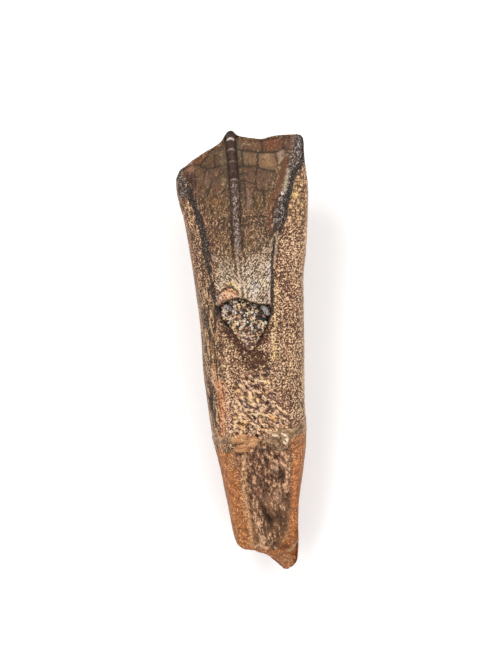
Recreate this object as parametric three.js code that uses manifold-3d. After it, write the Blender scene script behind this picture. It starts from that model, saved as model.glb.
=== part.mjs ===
// A rooted dentary tooth of a hadrosaur, as a fossil lying on its back.
// Frame: millimetres, +Z up and out of the enamel face, +Y towards the worn crown edge, +X to the
// right as one looks at the enamel face. The origin is on the surface the tooth rests on, under
// the middle of its outline.
//
// The tooth is one closed body. Its skin is a family of cross-sections along Y, and a grid of
// points runs over them from the broken root end to the slanting wear face of the crown. Two
// cuts are then made in it: the hollow under the enamel, which holds a plug of sandstone, and a
// shallow ring right round the root, which holds the filler of an old repair.
import * as THREE from "three";
import { mergeVertices } from "three/addons/utils/BufferGeometryUtils.js";
import Module from "manifold-3d";

const wasm = await Module();
wasm.setup();

// ---------------------------------------------------------------- driving dimensions (mm)

// Outline seen from the enamel side: [y, x] up each side of the tooth.
const LEFT_SIDE = [
  [-20.0, -2.6], [-18.0, -3.1], [-15.7, -3.42], [-13.35, -3.75], [-11.0, -4.06], [-8.7, -4.48],
  [-6.3, -4.71], [-1.7, -4.97], [2.9, -4.97], [7.6, -5.28], [12.2, -5.72], [15.0, -6.22],
  [16.8, -6.33], [18.5, -6.15],
];
const RIGHT_SIDE = [
  [-21.6, 2.6], [-20.3, 2.87], [-18.8, 3.04], [-17.3, 3.12], [-15.0, 3.37], [-12.7, 3.8],
  [-10.4, 4.25], [-8.1, 4.54], [-4.7, 4.6], [-0.1, 4.9], [4.5, 5.14], [6.8, 5.3], [9.1, 5.68],
  [11.4, 5.96], [14.9, 6.3], [18.3, 6.17], [20.3, 6.18],
];
// Worn crown edge and broken root edge: [x, y] from left to right.
const CROWN_EDGE = [
  [-6.3, 17.3], [-6.0, 17.7], [-4.84, 18.58], [-3.64, 19.3], [-2.44, 19.92], [-1.8, 20.35],
  [-1.25, 21.05], [-0.7, 21.22], [-0.1, 20.77], [1.1, 20.47], [2.2, 20.31], [3.4, 20.52],
  [5.6, 20.5], [6.2, 20.3],
];
const ROOT_EDGE = [
  [-3.1, -18.95], [-2.7, -19.35], [-1.7, -19.5], [-0.6, -19.9], [0.2, -20.37], [0.9, -20.9],
  [1.5, -21.4], [2.1, -21.78], [2.7, -22.0], [3.1, -21.85],
];
// Side profile: [y, z] of the front (enamel) line, the back line and the widest point.
const FRONT_LINE = [
  [-21.5, 4.6], [-18.0, 5.6], [-12.0, 7.2], [-6.0, 8.5], [0.0, 9.2], [6.0, 9.5], [12.0, 9.5],
  [17.0, 9.1], [21.5, 8.5],
];
const BACK_LINE = [
  [-21.5, 2.3], [-18.0, 1.85], [-13.0, 1.05], [-8.5, 0.33], [-4.5, -0.2], [0.0, -0.45], [6.0, -0.45],
  [9.5, -0.1], [12.5, 0.5], [16.0, 1.9], [21.5, 4.8],
];
const WIDEST_LINE = [
  [-21.5, 3.6], [-12.0, 4.2], [0.0, 5.6], [10.0, 6.6], [17.0, 7.2], [21.5, 7.7],
];
const FRONT_ROUNDNESS = 3.0; // exponent of the front half of a section: higher is flatter
const CROWN_ROUNDNESS = 6.5; // and the same at the worn end of the crown
const CROWN_FLATTENS = [12, 17]; // y over which it changes from one to the other
const BACK_ROUNDNESS = 2.1;
// Long hollow down each side, where neighbours packed in. It lies below the widest point, by a
// share of the way down to the back.
const SIDE_HOLLOW = 0.35;
const SIDE_HOLLOW_PLACE = 0.45;
const SIDE_HOLLOW_WIDTH = 0.25;

// Enamel face: [y, x] of its two margins and of the keel between them.
const LEFT_MARGIN = [
  [-0.6, -0.3], [0.5, -1.28], [2.0, -2.13], [3.2, -2.75], [4.5, -3.12], [7.5, -3.6],
  [10.1, -3.8], [12.0, -4.1], [14.0, -4.67], [17.4, -6.2],
];
const RIGHT_MARGIN = [
  [-0.6, -0.05], [1.85, 1.0], [2.7, 1.47], [4.3, 2.02], [5.7, 2.33], [8.5, 2.67], [10.9, 3.05],
  [12.7, 3.46], [14.0, 3.97], [15.6, 4.78], [20.0, 6.1],
];
const KEEL_LINE = [[5.9, -0.48], [9.4, -0.73], [12.2, -0.81], [20.5, -0.75]];
const FACE_HOLLOW = 0.3; // how far the enamel dips between the keel and a margin
const FACE_EDGE = 0.7; // width of the slope from a margin down into the dip
const FACE_BOTTOM = [3.5, 5.5]; // the dip fades in between these y
const KEEL_HEIGHT = 0.5;
const KEEL_WIDTH = 0.55;

// Long hollow down the front of the root, where the next tooth lay.
const GROOVE_LINE = [[-21.5, 1.9], [-15.0, 1.1], [-8.0, 0.35], [-1.5, -0.2]];
const GROOVE_HALF_WIDTH = 2.1;
const GROOVE_DEPTH = 0.75;
const GROOVE_TOP = [-5, 0.5]; // the hollow fades out between these y

// Ends of the grid: the slanting wear face of the crown and the broken end of the root.
const CROWN_Y = 17; // where a column of the grid is placed across the crown
const ROOT_Y = -18;
const NOTCH_DEPTH = [0.3, 2.2]; // the crown edge's notches fade out at these depths behind it
const ROOT_SLANT = [0.2, 2.0]; // how far back the front of the break is, on the left and right
const ROOT_SLANT_X = [-0.5, 2.5]; // the slant grows between these x
const WEAR_SLOPE = 0.78; // how far the wear face runs back down the tooth per mm of depth
const WEAR_SIDE_SLOPE = 0.24; // and how much it climbs per mm towards +X
const WEAR_MIDDLE_Y = 19.4;
const WEAR_DISH = 0.55;
const ROOT_DISH = 0.7;

// Hollow under the enamel and its plug of sandstone: [x, y] round the hollow.
const POCKET_OUTLINE = [
  [-0.2, -0.35], [1.0, 1.8], [2.05, 4.3], [1.3, 4.75], [-0.5, 5.15], [-2.1, 4.85], [-3.05, 4.3],
  [-2.1, 1.95],
];
const POCKET_STEPS = 32;
const POCKET_FLOOR = 7.9;
const PLUG_TOP = 8.95;

// Ring of filler round the root, with waving edges.
const BREAK_Y = -8.15;
const BREAK_RISE = 0.09; // the break climbs this much per mm towards +X
const FILLER_HALF_WIDTH = 0.85;
const FILLER_WAVES = [[0.16, 2.3, 1], [0.1, 5.1, -2]]; // height, turns per mm and shift
const FILLER_STEPS = 24;
const PAST_THE_SIDES = 6; // an x beyond both sides of the root
const FILLER_THICKNESS = 0.45;
const FIT_GAP = 0.3; // clear space left between a piece and the cut that holds it

// Grid of the tooth's skin.
const AROUND = 56;
const FRONT_CROWDING = 0.4; // share by which the columns are closer together on the front
const ALONG = 46;
const CAP_RINGS = 4;

// ---------------------------------------------------------------- shape of the tooth

// Smooth curve through [t, value] points, level at both ends.
function curve(points) {
  const slope = points.map((p, i) => {
    if (i === 0 || i === points.length - 1) return 0;
    const [before, after] = [points[i - 1], points[i + 1]];
    return (after[1] - before[1]) / (after[0] - before[0]);
  });
  return (t) => {
    const last = points.length - 1;
    if (t <= points[0][0]) return points[0][1];
    if (t >= points[last][0]) return points[last][1];
    const i = points.findIndex((p) => p[0] > t) - 1;
    const span = points[i + 1][0] - points[i][0];
    const u = (t - points[i][0]) / span;
    const rise = points[i + 1][1] - points[i][1];
    const bend = u * (1 - u) * ((1 - u) * (slope[i] * span - rise) + u * (rise - slope[i + 1] * span));
    return points[i][1] + rise * u + bend;
  };
}

const leftSide = curve(LEFT_SIDE);
const rightSide = curve(RIGHT_SIDE);
const crownEdge = curve(CROWN_EDGE);
const rootEdge = curve(ROOT_EDGE);
const frontLine = curve(FRONT_LINE);
const backLine = curve(BACK_LINE);
const widestLine = curve(WIDEST_LINE);
const leftMargin = curve(LEFT_MARGIN);
const rightMargin = curve(RIGHT_MARGIN);
const keelLine = curve(KEEL_LINE);
const grooveLine = curve(GROOVE_LINE);

const { smoothstep, lerp } = THREE.MathUtils;
const hump = (distance, width) => Math.exp(-((distance / width) ** 2));

// Height that the enamel face and the root hollow add to the plain front at (x, y).
function frontRelief(x, y) {
  const left = leftMargin(y);
  const right = rightMargin(y);
  const onCrown = smoothstep(y, ...FACE_BOTTOM);
  const inside = smoothstep(x, left, left + FACE_EDGE) * smoothstep(-x, -right, FACE_EDGE - right);
  const keel = KEEL_HEIGHT * hump(x - keelLine(y), KEEL_WIDTH);
  const face = onCrown * inside * (keel - FACE_HOLLOW);
  const onRoot = 1 - smoothstep(y, ...GROOVE_TOP);
  const across = (x - grooveLine(y)) / GROOVE_HALF_WIDTH;
  return face - onRoot * GROOVE_DEPTH * Math.exp(-(across ** 4));
}

// Point of the skin at height y along the tooth and angle a round it, with the whole skin moved
// in by inset. Angle 0 faces +X and a quarter turn faces the enamel side, +Z. Each section is two
// halves of rounded rectangles, and its underside is flat where it reaches the ground.
function skin(y, a, inset = 0) {
  const left = leftSide(y) + inset;
  const right = rightSide(y) - inset;
  const widest = widestLine(y);
  const [cos, sin] = [Math.cos(a), Math.sin(a)];
  const frontPower = lerp(FRONT_ROUNDNESS, CROWN_ROUNDNESS, smoothstep(y, ...CROWN_FLATTENS));
  const power = sin > 0 ? frontPower : BACK_ROUNDNESS;
  const reach = (Math.abs(cos) ** power + Math.abs(sin) ** power) ** (-1 / power);
  const [across, rise] = [reach * cos, reach * Math.abs(sin)];
  const hollow = sin < 0 ? SIDE_HOLLOW * hump(rise - SIDE_HOLLOW_PLACE, SIDE_HOLLOW_WIDTH) : 0;
  const x = (left + right) / 2 + across * ((right - left) / 2) - Math.sign(across) * hollow;
  if (sin < 0) {
    const back = backLine(y) + inset;
    return new THREE.Vector3(x, y, Math.max(inset, widest - rise * (widest - back)));
  }
  const front = frontLine(y) - inset;
  const onFront = smoothstep(rise, 0.25, 0.75);
  return new THREE.Vector3(x, y, widest + rise * (front - widest) + onFront * frontRelief(x, y));
}

// Where the skin at angle a meets the slanting wear face, and the broken end of the root. The
// notches of the crown's edge fade out just behind it, into a plain slanting face.
function crownEnd(a) {
  const p = skin(CROWN_Y, a);
  const depth = Math.max(0, frontLine(WEAR_MIDDLE_Y) - p.z);
  const plain = WEAR_MIDDLE_Y + WEAR_SIDE_SLOPE * p.x;
  return lerp(crownEdge(p.x), plain, smoothstep(depth, ...NOTCH_DEPTH)) - WEAR_SLOPE * depth;
}
function rootEnd(a) {
  const p = skin(ROOT_Y, a);
  const height = (p.z - backLine(ROOT_Y)) / (frontLine(ROOT_Y) - backLine(ROOT_Y));
  return rootEdge(p.x) + lerp(...ROOT_SLANT, smoothstep(p.x, ...ROOT_SLANT_X)) * height;
}

// Closed body of the skin between its two ends, each end closed by a dished cap.
function toothBody(inset = 0) {
  const points = [];
  const faces = [];
  const angles = Array.from({ length: AROUND }, (_, j) => spreadAngle(j / AROUND));
  for (let i = 0; i <= ALONG; i++)
    for (const a of angles) points.push(skin(lerp(rootEnd(a), crownEnd(a), i / ALONG), a, inset));
  const at = (i, j) => i * AROUND + (j % AROUND);
  for (let i = 0; i < ALONG; i++)
    for (let j = 0; j < AROUND; j++)
      faces.push(at(i, j), at(i + 1, j + 1), at(i, j + 1), at(i, j), at(i + 1, j), at(i + 1, j + 1));
  const inward = new THREE.Vector3(0, -1, -WEAR_SLOPE).normalize();
  addCap(points, faces, ALONG * AROUND, inward.multiplyScalar(WEAR_DISH), true);
  addCap(points, faces, 0, new THREE.Vector3(0, ROOT_DISH, 0), false);
  const geometry = new THREE.BufferGeometry().setFromPoints(points);
  geometry.setIndex(faces);
  return geometry;
}

// Angle for a share of the way round, with the columns closer together on the front.
function spreadAngle(share) {
  const a = 2 * Math.PI * share;
  return a + FRONT_CROWDING * Math.cos(a);
}

// Closes the loop of points that starts at first with rings that run in to one middle point.
function addCap(points, faces, first, dish, flip) {
  const loop = points.slice(first, first + AROUND);
  const middle = new THREE.Vector3();
  loop.forEach((p) => middle.addScaledVector(p, 1 / AROUND));
  const put = (a, b, c) => faces.push(...(flip ? [a, c, b] : [a, b, c]));
  let ring = loop.map((_, j) => first + j);
  for (let k = 1; k < CAP_RINGS; k++) {
    const share = 1 - k / CAP_RINGS;
    const next = loop.map((p) => {
      points.push(p.clone().lerp(middle, 1 - share).addScaledVector(dish, 1 - share * share));
      return points.length - 1;
    });
    for (let j = 0; j < AROUND; j++) {
      const j2 = (j + 1) % AROUND;
      put(ring[j], ring[j2], next[j2]);
      put(ring[j], next[j2], next[j]);
    }
    ring = next;
  }
  points.push(middle.clone().add(dish));
  for (let j = 0; j < AROUND; j++) put(ring[j], ring[(j + 1) % AROUND], points.length - 1);
}

// ---------------------------------------------------------------- cuts and fillings

// Upright block over an outline of [x, y] points, from one height to another.
function block(outline, low, high) {
  const shape = new THREE.Shape(outline.map(([x, y]) => new THREE.Vector2(x, y)));
  const geometry = new THREE.ExtrudeGeometry(shape, { depth: high - low, bevelEnabled: false });
  return geometry.translate(0, 0, low);
}

// Smooth closed outline through the pocket's corner points, moved in by inset.
function pocketOutline(inset) {
  const corners = POCKET_OUTLINE.map(([x, y]) => new THREE.Vector3(x, y, 0));
  const curved = new THREE.CatmullRomCurve3(corners, true, "centripetal");
  const round = curved.getPoints(POCKET_STEPS).slice(1);
  return round.map((p, i) => {
    const before = round[(i + round.length - 1) % round.length];
    const after = round[(i + 1) % round.length];
    const along = after.clone().sub(before).normalize();
    return [p.x - along.y * inset, p.y + along.x * inset];
  });
}

// Outline of the repair band seen from the enamel side, wider than the root, moved in by inset.
function bandOutline(inset) {
  const edge = (side) =>
    Array.from({ length: FILLER_STEPS + 1 }, (_, i) => {
      const x = lerp(-PAST_THE_SIDES, PAST_THE_SIDES, i / FILLER_STEPS);
      const middle = BREAK_Y + BREAK_RISE * x;
      const waves = FILLER_WAVES.map(([size, turns, shift]) => size * Math.sin(turns * x + shift * side));
      return [x, middle + waves[0] + waves[1] + side * (FILLER_HALF_WIDTH - inset)];
    });
  return [...edge(-1), ...edge(1).reverse()];
}

// The library's own solid from a closed mesh, and back again.
function solid(geometry) {
  const bare = geometry.clone();
  bare.deleteAttribute("normal");
  bare.deleteAttribute("uv");
  const merged = mergeVertices(bare, 1e-4);
  return new wasm.Manifold(
    new wasm.Mesh({
      numProp: 3,
      vertProperties: merged.attributes.position.array,
      triVerts: new Uint32Array(merged.index.array),
    }),
  );
}

function geometryOf(manifold) {
  const mesh = manifold.getMesh();
  const geometry = new THREE.BufferGeometry();
  geometry.setAttribute("position", new THREE.BufferAttribute(mesh.vertProperties, 3));
  geometry.setIndex(new THREE.BufferAttribute(mesh.triVerts, 1));
  return geometry;
}

// ---------------------------------------------------------------- the pieces

const BELOW = -2; // heights under and over the whole tooth
const ABOVE = 12;
const body = solid(toothBody());
const ringCut = solid(block(bandOutline(0), BELOW, ABOVE)).subtract(
  solid(toothBody(FILLER_THICKNESS + FIT_GAP)),
);
const toothSolid = body.subtract(ringCut).subtract(solid(block(pocketOutline(0), POCKET_FLOOR, ABOVE)));
const fillerSolid = body
  .intersect(solid(block(bandOutline(FIT_GAP), BELOW, ABOVE)))
  .subtract(solid(toothBody(FILLER_THICKNESS)));
const plugSolid = solid(block(pocketOutline(FIT_GAP), POCKET_FLOOR + FIT_GAP, PLUG_TOP));

function piece(name, manifold, color, roughness) {
  const material = new THREE.MeshStandardMaterial({ color, roughness, metalness: 0 });
  const mesh = new THREE.Mesh(geometryOf(manifold), material);
  mesh.name = name;
  return mesh;
}

const hadrosaurTooth = new THREE.Group();
hadrosaurTooth.add(
  piece("tooth", toothSolid, 0x7d5a42, 0.5),
  piece("pocket_sandstone", plugSolid, 0x8a745f, 0.9),
  piece("repair_filler", fillerSolid, 0xbd8a61, 0.7),
);

export default hadrosaurTooth;
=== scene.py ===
# A rooted fossil tooth of a duck-billed dinosaur, lying on its back with the enamel face up.
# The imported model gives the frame: metres, +Z up, +Y towards the worn crown. Each section below
# makes one part of it, and shapes are worked out in millimetres until they become a mesh.
import math

import bpy
import numpy as np
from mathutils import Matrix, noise


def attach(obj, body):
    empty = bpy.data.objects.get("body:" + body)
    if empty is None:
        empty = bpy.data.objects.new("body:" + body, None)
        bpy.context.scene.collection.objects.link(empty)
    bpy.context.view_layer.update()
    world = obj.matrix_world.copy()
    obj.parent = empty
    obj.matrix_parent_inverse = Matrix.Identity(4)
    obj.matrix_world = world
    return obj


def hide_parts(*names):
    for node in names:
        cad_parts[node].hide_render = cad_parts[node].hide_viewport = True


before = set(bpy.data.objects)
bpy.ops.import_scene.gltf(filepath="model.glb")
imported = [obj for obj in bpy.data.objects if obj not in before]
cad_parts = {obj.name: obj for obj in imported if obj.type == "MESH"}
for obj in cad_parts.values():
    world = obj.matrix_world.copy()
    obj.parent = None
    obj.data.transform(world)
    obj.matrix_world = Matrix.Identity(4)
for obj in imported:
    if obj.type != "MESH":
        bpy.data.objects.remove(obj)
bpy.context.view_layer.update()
scene = bpy.context.scene

# ------------------------------------------------------------------------------------------
# The form of the tooth: one grown body of dentine, oval across, that tapers from the slanting
# wear face of its crown to a broken root. Its back has a flat where it lies.

MM = 0.001
LEFT_SIDE = [  # (y, x) up each side of the outline
    (-20.0, -2.6), (-18.0, -3.1), (-15.7, -3.42), (-13.35, -3.75), (-11.0, -4.06), (-8.7, -4.48),
    (-6.3, -4.71), (-1.7, -4.97), (2.9, -4.97), (7.6, -5.28), (12.2, -5.72), (15.0, -6.22), (16.8, -6.33),
    (18.5, -6.15),
]
RIGHT_SIDE = [
    (-21.6, 2.6), (-20.3, 2.87), (-18.8, 3.04), (-17.3, 3.12), (-15.0, 3.37), (-12.7, 3.8), (-10.4, 4.25),
    (-8.1, 4.54), (-4.7, 4.6), (-0.1, 4.9), (4.5, 5.14), (6.8, 5.3), (9.1, 5.68), (11.4, 5.96), (14.9, 6.3),
    (18.3, 6.17), (20.3, 6.18),
]
CROWN_EDGE = [  # (x, y) along the worn edge of the crown, and the broken edge of the root
    (-6.3, 17.3), (-6.0, 17.7), (-4.84, 18.58), (-3.64, 19.3), (-2.44, 19.92), (-1.8, 20.35),
    (-1.25, 21.05), (-0.7, 21.22), (-0.1, 20.77), (1.1, 20.47), (2.2, 20.31), (3.4, 20.52),
    (5.6, 20.5), (6.2, 20.3),
]
ROOT_EDGE = [
    (-3.1, -18.95), (-2.7, -19.35), (-1.7, -19.5), (-0.6, -19.9), (0.2, -20.37), (0.9, -20.9), (1.5, -21.4),
    (2.1, -21.78), (2.7, -22.0), (3.1, -21.85),
]
FRONT_LINE = [  # (y, z) along the front, the back and the widest point of each section
    (-21.5, 4.6), (-18.0, 5.6), (-12.0, 7.2), (-6.0, 8.5), (0.0, 9.2), (6.0, 9.5), (12.0, 9.5),
    (17.0, 9.1), (21.5, 8.5),
]
BACK_LINE = [
    (-21.5, 2.3), (-18.0, 1.85), (-13.0, 1.05), (-8.5, 0.33), (-4.5, -0.2), (0.0, -0.45),
    (6.0, -0.45), (9.5, -0.1), (12.5, 0.5), (16.0, 1.9), (21.5, 4.8),
]
WIDEST_LINE = [(-21.5, 3.6), (-12.0, 4.2), (0.0, 5.6), (10.0, 6.6), (17.0, 7.2), (21.5, 7.7)]
FRONT_ROUNDNESS = 3.0
CROWN_ROUNDNESS = 6.5
CROWN_FLATTENS = (12, 17)  # y over which the front changes from one to the other
BACK_ROUNDNESS = 2.1
SIDE_HOLLOW = 0.35
SIDE_HOLLOW_AT = 0.45  # shares of the depth from the widest line down to the back
SIDE_HOLLOW_REACH = 0.25
CROWN_SECTION_Y = 17.0  # the sections that both ends of the skin are worked out from
ROOT_SECTION_Y = -18.0
WEAR_SLOPE = 0.78  # how far the wear face runs back down the tooth per mm of depth
WEAR_SIDE_SLOPE = 0.24
WEAR_MIDDLE_Y = 19.4
WEAR_DISH = 0.55
NOTCHED_DEPTH = (0.3, 2.2)  # depth over which the notched crown edge gives way to a plain one
ROOT_SLANT = 0.2  # how much shorter the root is in front than at the back, on its left side
ROOT_SLANT_RIGHT = 1.8  # how much more that is on its right side
ROOT_DISH = 0.7
AROUND = 240
ALONG = 370
CAP_RINGS = 18
FRONT_CROWDING = 0.4  # how much closer together points lie on the front, which has most detail
FRONT_FACING = (0.12, 0.55)  # how far up the skin faces where the front begins, and is in full
FAR = 9.0  # the distance from both edges that points of the two end faces are given


def curve(points):
    """A smooth curve through (t, value) points, level at both ends, as a function."""
    t, value = np.array(points, float).T
    slope = np.zeros_like(value)
    slope[1:-1] = (value[2:] - value[:-2]) / (t[2:] - t[:-2])

    def at(where):
        where = np.clip(where, t[0], t[-1])
        i = np.clip(np.searchsorted(t, where, "right") - 1, 0, len(t) - 2)
        span = t[i + 1] - t[i]
        u = (where - t[i]) / span
        rise = value[i + 1] - value[i]
        bend = (1 - u) * (slope[i] * span - rise) + u * (rise - slope[i + 1] * span)
        return value[i] + rise * u + u * (1 - u) * bend

    return at


def step(value, low, high):
    """0 below low, 1 above high, and a smooth climb between."""
    u = np.clip((value - low) / (high - low), 0, 1)
    return u * u * (3 - 2 * u)


def hump(distance, width):
    """1 at no distance, falling to nothing a few widths away."""
    return np.exp(-((distance / width) ** 2))


left_side, right_side = curve(LEFT_SIDE), curve(RIGHT_SIDE)
crown_edge, root_edge = curve(CROWN_EDGE), curve(ROOT_EDGE)
front_line, back_line, widest_line = curve(FRONT_LINE), curve(BACK_LINE), curve(WIDEST_LINE)


def skin(y, angle):
    """Points of the plain skin at y along the tooth and an angle round it, +Z at a quarter turn."""
    left, right = left_side(y), right_side(y)
    widest, front, back = widest_line(y), front_line(y), back_line(y)
    cos, sin = np.cos(angle), np.sin(angle)
    flatter = step(y, *CROWN_FLATTENS)
    front_power = FRONT_ROUNDNESS * (1 - flatter) + CROWN_ROUNDNESS * flatter
    power = np.where(sin > 0, front_power, BACK_ROUNDNESS)
    reach = (np.abs(cos) ** power + np.abs(sin) ** power) ** (-1 / power)
    across, rise = reach * cos, reach * np.abs(sin)
    hollow = np.where(sin < 0, SIDE_HOLLOW * hump(rise - SIDE_HOLLOW_AT, SIDE_HOLLOW_REACH), 0)
    x = (left + right) / 2 + across * (right - left) / 2 - np.sign(across) * hollow
    z = np.where(sin > 0, widest + rise * (front - widest), widest - rise * (widest - back))
    return np.stack([x, y + 0 * x, np.maximum(z, 0)], axis=-1)


def crown_end(angle):
    """Where the skin meets the slanting wear face, whose notched edge fades out behind it."""
    x, _, z = skin(CROWN_SECTION_Y + 0 * angle, angle).T
    depth = np.maximum(0, front_line(WEAR_MIDDLE_Y) - z)
    plain = step(depth, *NOTCHED_DEPTH)
    edge = crown_edge(x) * (1 - plain) + (WEAR_MIDDLE_Y + WEAR_SIDE_SLOPE * x) * plain
    return edge - WEAR_SLOPE * depth


def root_end(angle):
    """Where the skin ends at the broken root, which reaches furthest at the back on the right."""
    x, _, z = skin(ROOT_SECTION_Y + 0 * angle, angle).T
    back, front = back_line(ROOT_SECTION_Y), front_line(ROOT_SECTION_Y)
    slant = ROOT_SLANT + ROOT_SLANT_RIGHT * step(x, -0.5, 2.5)
    return root_edge(x) + slant * (z - back) / (front - back)


def cap(loop, dish):
    """Rings that run in from a loop of points to one middle point, dished by a vector."""
    middle = loop.mean(axis=0)
    share = 1 - np.arange(1, CAP_RINGS + 1)[:, None, None] / CAP_RINGS
    return middle + (loop - middle) * share + dish * (1 - share**2)


def tube_faces(rows, columns):
    """Faces of a closed grid of rings, with a fan to one more point at each end."""
    row = np.arange(rows - 1)[:, None] * columns
    here = np.arange(columns)
    there = (here + 1) % columns
    quads = np.stack([row + here, row + columns + here, row + columns + there, row + there], -1)
    top = (rows - 1) * columns
    pole = np.full(columns, rows * columns)
    fans = [np.stack([pole, here, there], -1), np.stack([top + there, top + here, pole + 1], -1)]
    return [tuple(f) for group in (quads.reshape(-1, 4), *fans) for f in group.tolist()]


def mesh_of(name, places, faces):
    """A smooth mesh from places in millimetres."""
    mesh = bpy.data.meshes.new(name)
    mesh.from_pydata((places * MM).tolist(), [], faces)
    mesh.shade_smooth()
    mesh.update()
    return mesh


turn = 2 * np.pi * np.arange(AROUND) / AROUND
angles = turn + FRONT_CROWDING * np.cos(turn)
along = np.linspace(0, 1, ALONG + 1)[:, None]
skin_grid = skin(root_end(angles) * (1 - along) + crown_end(angles) * along, angles + 0 * along)
wear_inward = np.array([0, -1, -WEAR_SLOPE]) / math.hypot(1, WEAR_SLOPE)
root_cap = cap(skin_grid[0], np.array([0, ROOT_DISH, 0]))
wear_cap = cap(skin_grid[-1], wear_inward * WEAR_DISH)
rings = np.concatenate([root_cap[-2::-1], skin_grid, wear_cap[:-1]])
points = np.concatenate([rings.reshape(-1, 3), root_cap[-1][:1], wear_cap[-1][:1]])
tooth_faces = tube_faces(len(rings), AROUND)
plain = mesh_of("plain_tooth", points, tooth_faces)
normals = np.zeros(len(points) * 3)
plain.vertex_normals.foreach_get("vector", normals)
normals = normals.reshape(-1, 3)
bpy.data.meshes.remove(plain)

x, y, z = points.T
facing = normals[:, 2]
number = np.arange(len(points))
on_root_end = (number < (CAP_RINGS - 1) * AROUND) | (number == len(points) - 2)
on_wear = (number >= (CAP_RINGS + ALONG) * AROUND) & ~on_root_end
front = step(facing, *FRONT_FACING) * ~on_root_end * ~on_wear
column_angle = np.append(np.tile(angles, len(rings)), [0, 0])
to_crown = np.where(on_root_end | on_wear, FAR, crown_end(column_angle) - y)
to_root = np.where(on_root_end | on_wear, FAR, y - root_end(column_angle))

# ------------------------------------------------------------------------------------------
# The enamel face: a thin glossy plate on the front of the crown between two dark raised rims,
# with a keel down its middle. It dips on both sides of the keel, drying has cracked it, and its
# lower end has broken off above a hollow.

LEFT_MARGIN = [  # (y, x) up the middle of the dark rim on each side of the plate
    (-0.6, -0.3), (0.5, -1.3), (2.0, -2.2), (2.7, -2.85), (3.4, -3.15), (4.5, -3.35), (6.0, -3.45),
    (7.5, -3.6), (9.0, -3.8), (11.0, -4.02), (12.0, -4.12), (13.0, -4.4), (14.0, -4.62),
    (15.0, -4.95), (16.0, -5.15), (17.4, -5.95),
]
RIGHT_MARGIN = [
    (-0.6, 0.1), (1.0, 0.95), (2.0, 1.5), (3.4, 2.0), (4.3, 2.05), (6.0, 2.2), (8.0, 2.38),
    (9.5, 2.6), (10.5, 2.85), (11.2, 3.25), (12.2, 3.8), (13.2, 4.05), (14.2, 4.3), (15.2, 4.6),
    (15.9, 4.85), (16.9, 5.2), (17.6, 5.8), (18.5, 6.15),
]
STRIP_LINE = [  # (y, x) up a smooth reddish strip inside the right rim
    (10.8, 2.2), (11.5, 2.3), (12.5, 2.5), (13.6, 2.8), (14.8, 3.25), (15.5, 3.55), (16.3, 3.9),
    (17.5, 4.25), (18.4, 4.5), (20.2, 5.0),
]
KEEL_LINE = [(4.9, -0.6), (7.7, -0.62), (9.4, -0.8), (12.2, -0.83), (15.0, -0.75), (20.5, -0.8)]
KEEL_HALF = [(8.0, 0.2), (9.5, 0.28), (11.0, 0.35), (13.0, 0.37), (20.5, 0.38)]
# Small steps across the top of the keel, each with a painted highlight along it.
KEEL_STEPS_AND_HIGHLIGHTS = ((20.35, 1.2), (19.3, 0.6), (18.15, 0.45), (17.2, 0.25), (16.4, 0.7))  # y, and how strong
LOWER_EDGE = [
    (-3.3, 4.4), (-2.5, 4.75), (-1.8, 5.0), (-1.2, 5.05), (-0.5, 4.9), (0.0, 4.6), (0.6, 4.4), (1.8, 4.2),
]
FACE_HOLLOW = 0.3
KEEL_HEIGHT = 0.34
CRACKS = [  # (x, y) points of the main drying cracks
    [(2.11, 20.1), (2.18, 19.5), (2.16, 18.98)], [(4.26, 20.2), (4.24, 19.7), (4.2, 19.2)],
    [(4.74, 20.2), (4.76, 19.6), (4.72, 19.1)],
    [(-0.3, 19.33), (0.6, 19.2), (1.7, 18.98), (2.6, 18.86), (3.4, 18.84), (4.0, 19.05), (4.5, 19.25)],
    [(0.2, 19.25), (0.16, 18.5), (0.18, 17.7)], [(-0.24, 17.68), (0.7, 17.62), (1.65, 17.6)],
    [(1.7, 18.98), (1.62, 18.2), (1.63, 17.6), (1.4, 16.9), (1.28, 16.2), (1.32, 15.6), (1.5, 15.25),
     (2.2, 15.15), (2.9, 15.3)],
    [(1.63, 17.55), (2.1, 17.25), (2.6, 17.1), (3.3, 16.95)], [(3.3, 16.95), (3.15, 16.1), (2.94, 15.3)],
    [(-0.2, 17.1), (0.15, 16.9), (0.5, 17.0)], [(-0.15, 16.3), (0.35, 16.25), (0.8, 16.0), (1.28, 15.85)],
    [(0.25, 16.3), (0.2, 15.5), (0.3, 14.6), (0.2, 13.8)], [(1.0, 14.9), (1.05, 14.2), (0.9, 13.5)],
    [(2.0, 15.1), (1.95, 14.3), (2.1, 13.6)], [(0.0, 12.8), (0.9, 12.75), (1.6, 12.7), (2.3, 12.6)],
    [(-1.76, 19.4), (-2.45, 19.12), (-3.35, 18.77), (-3.75, 18.3), (-3.95, 17.95)],
    [(-4.9, 18.35), (-4.1, 18.1), (-3.3, 17.73), (-2.45, 17.73), (-1.48, 17.94)],
    [(-3.3, 18.7), (-3.5, 18.25), (-3.4, 17.8)], [(-2.4, 19.1), (-2.5, 18.4), (-2.45, 17.8)],
    [(-1.48, 17.5), (-2.17, 16.84), (-2.93, 16.28), (-3.3, 15.7), (-3.63, 15.18), (-3.83, 14.8)],
    [(-2.9, 16.3), (-3.2, 15.4), (-3.4, 15.0)], [(-3.3, 17.6), (-3.6, 17.0), (-3.55, 16.3)],
    [(-4.5, 17.3), (-4.38, 16.7), (-4.5, 15.9)], [(-1.6, 15.6), (-2.2, 15.1), (-2.8, 14.9)],
    [(-2.5, 12.5), (-2.2, 12.65), (-1.85, 12.8)], [(-3.3, 14.2), (-3.1, 13.6), (-2.9, 13.1)],
]
CRACK_WIDTH = 0.08
CRACK_DEPTH = 0.05
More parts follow.
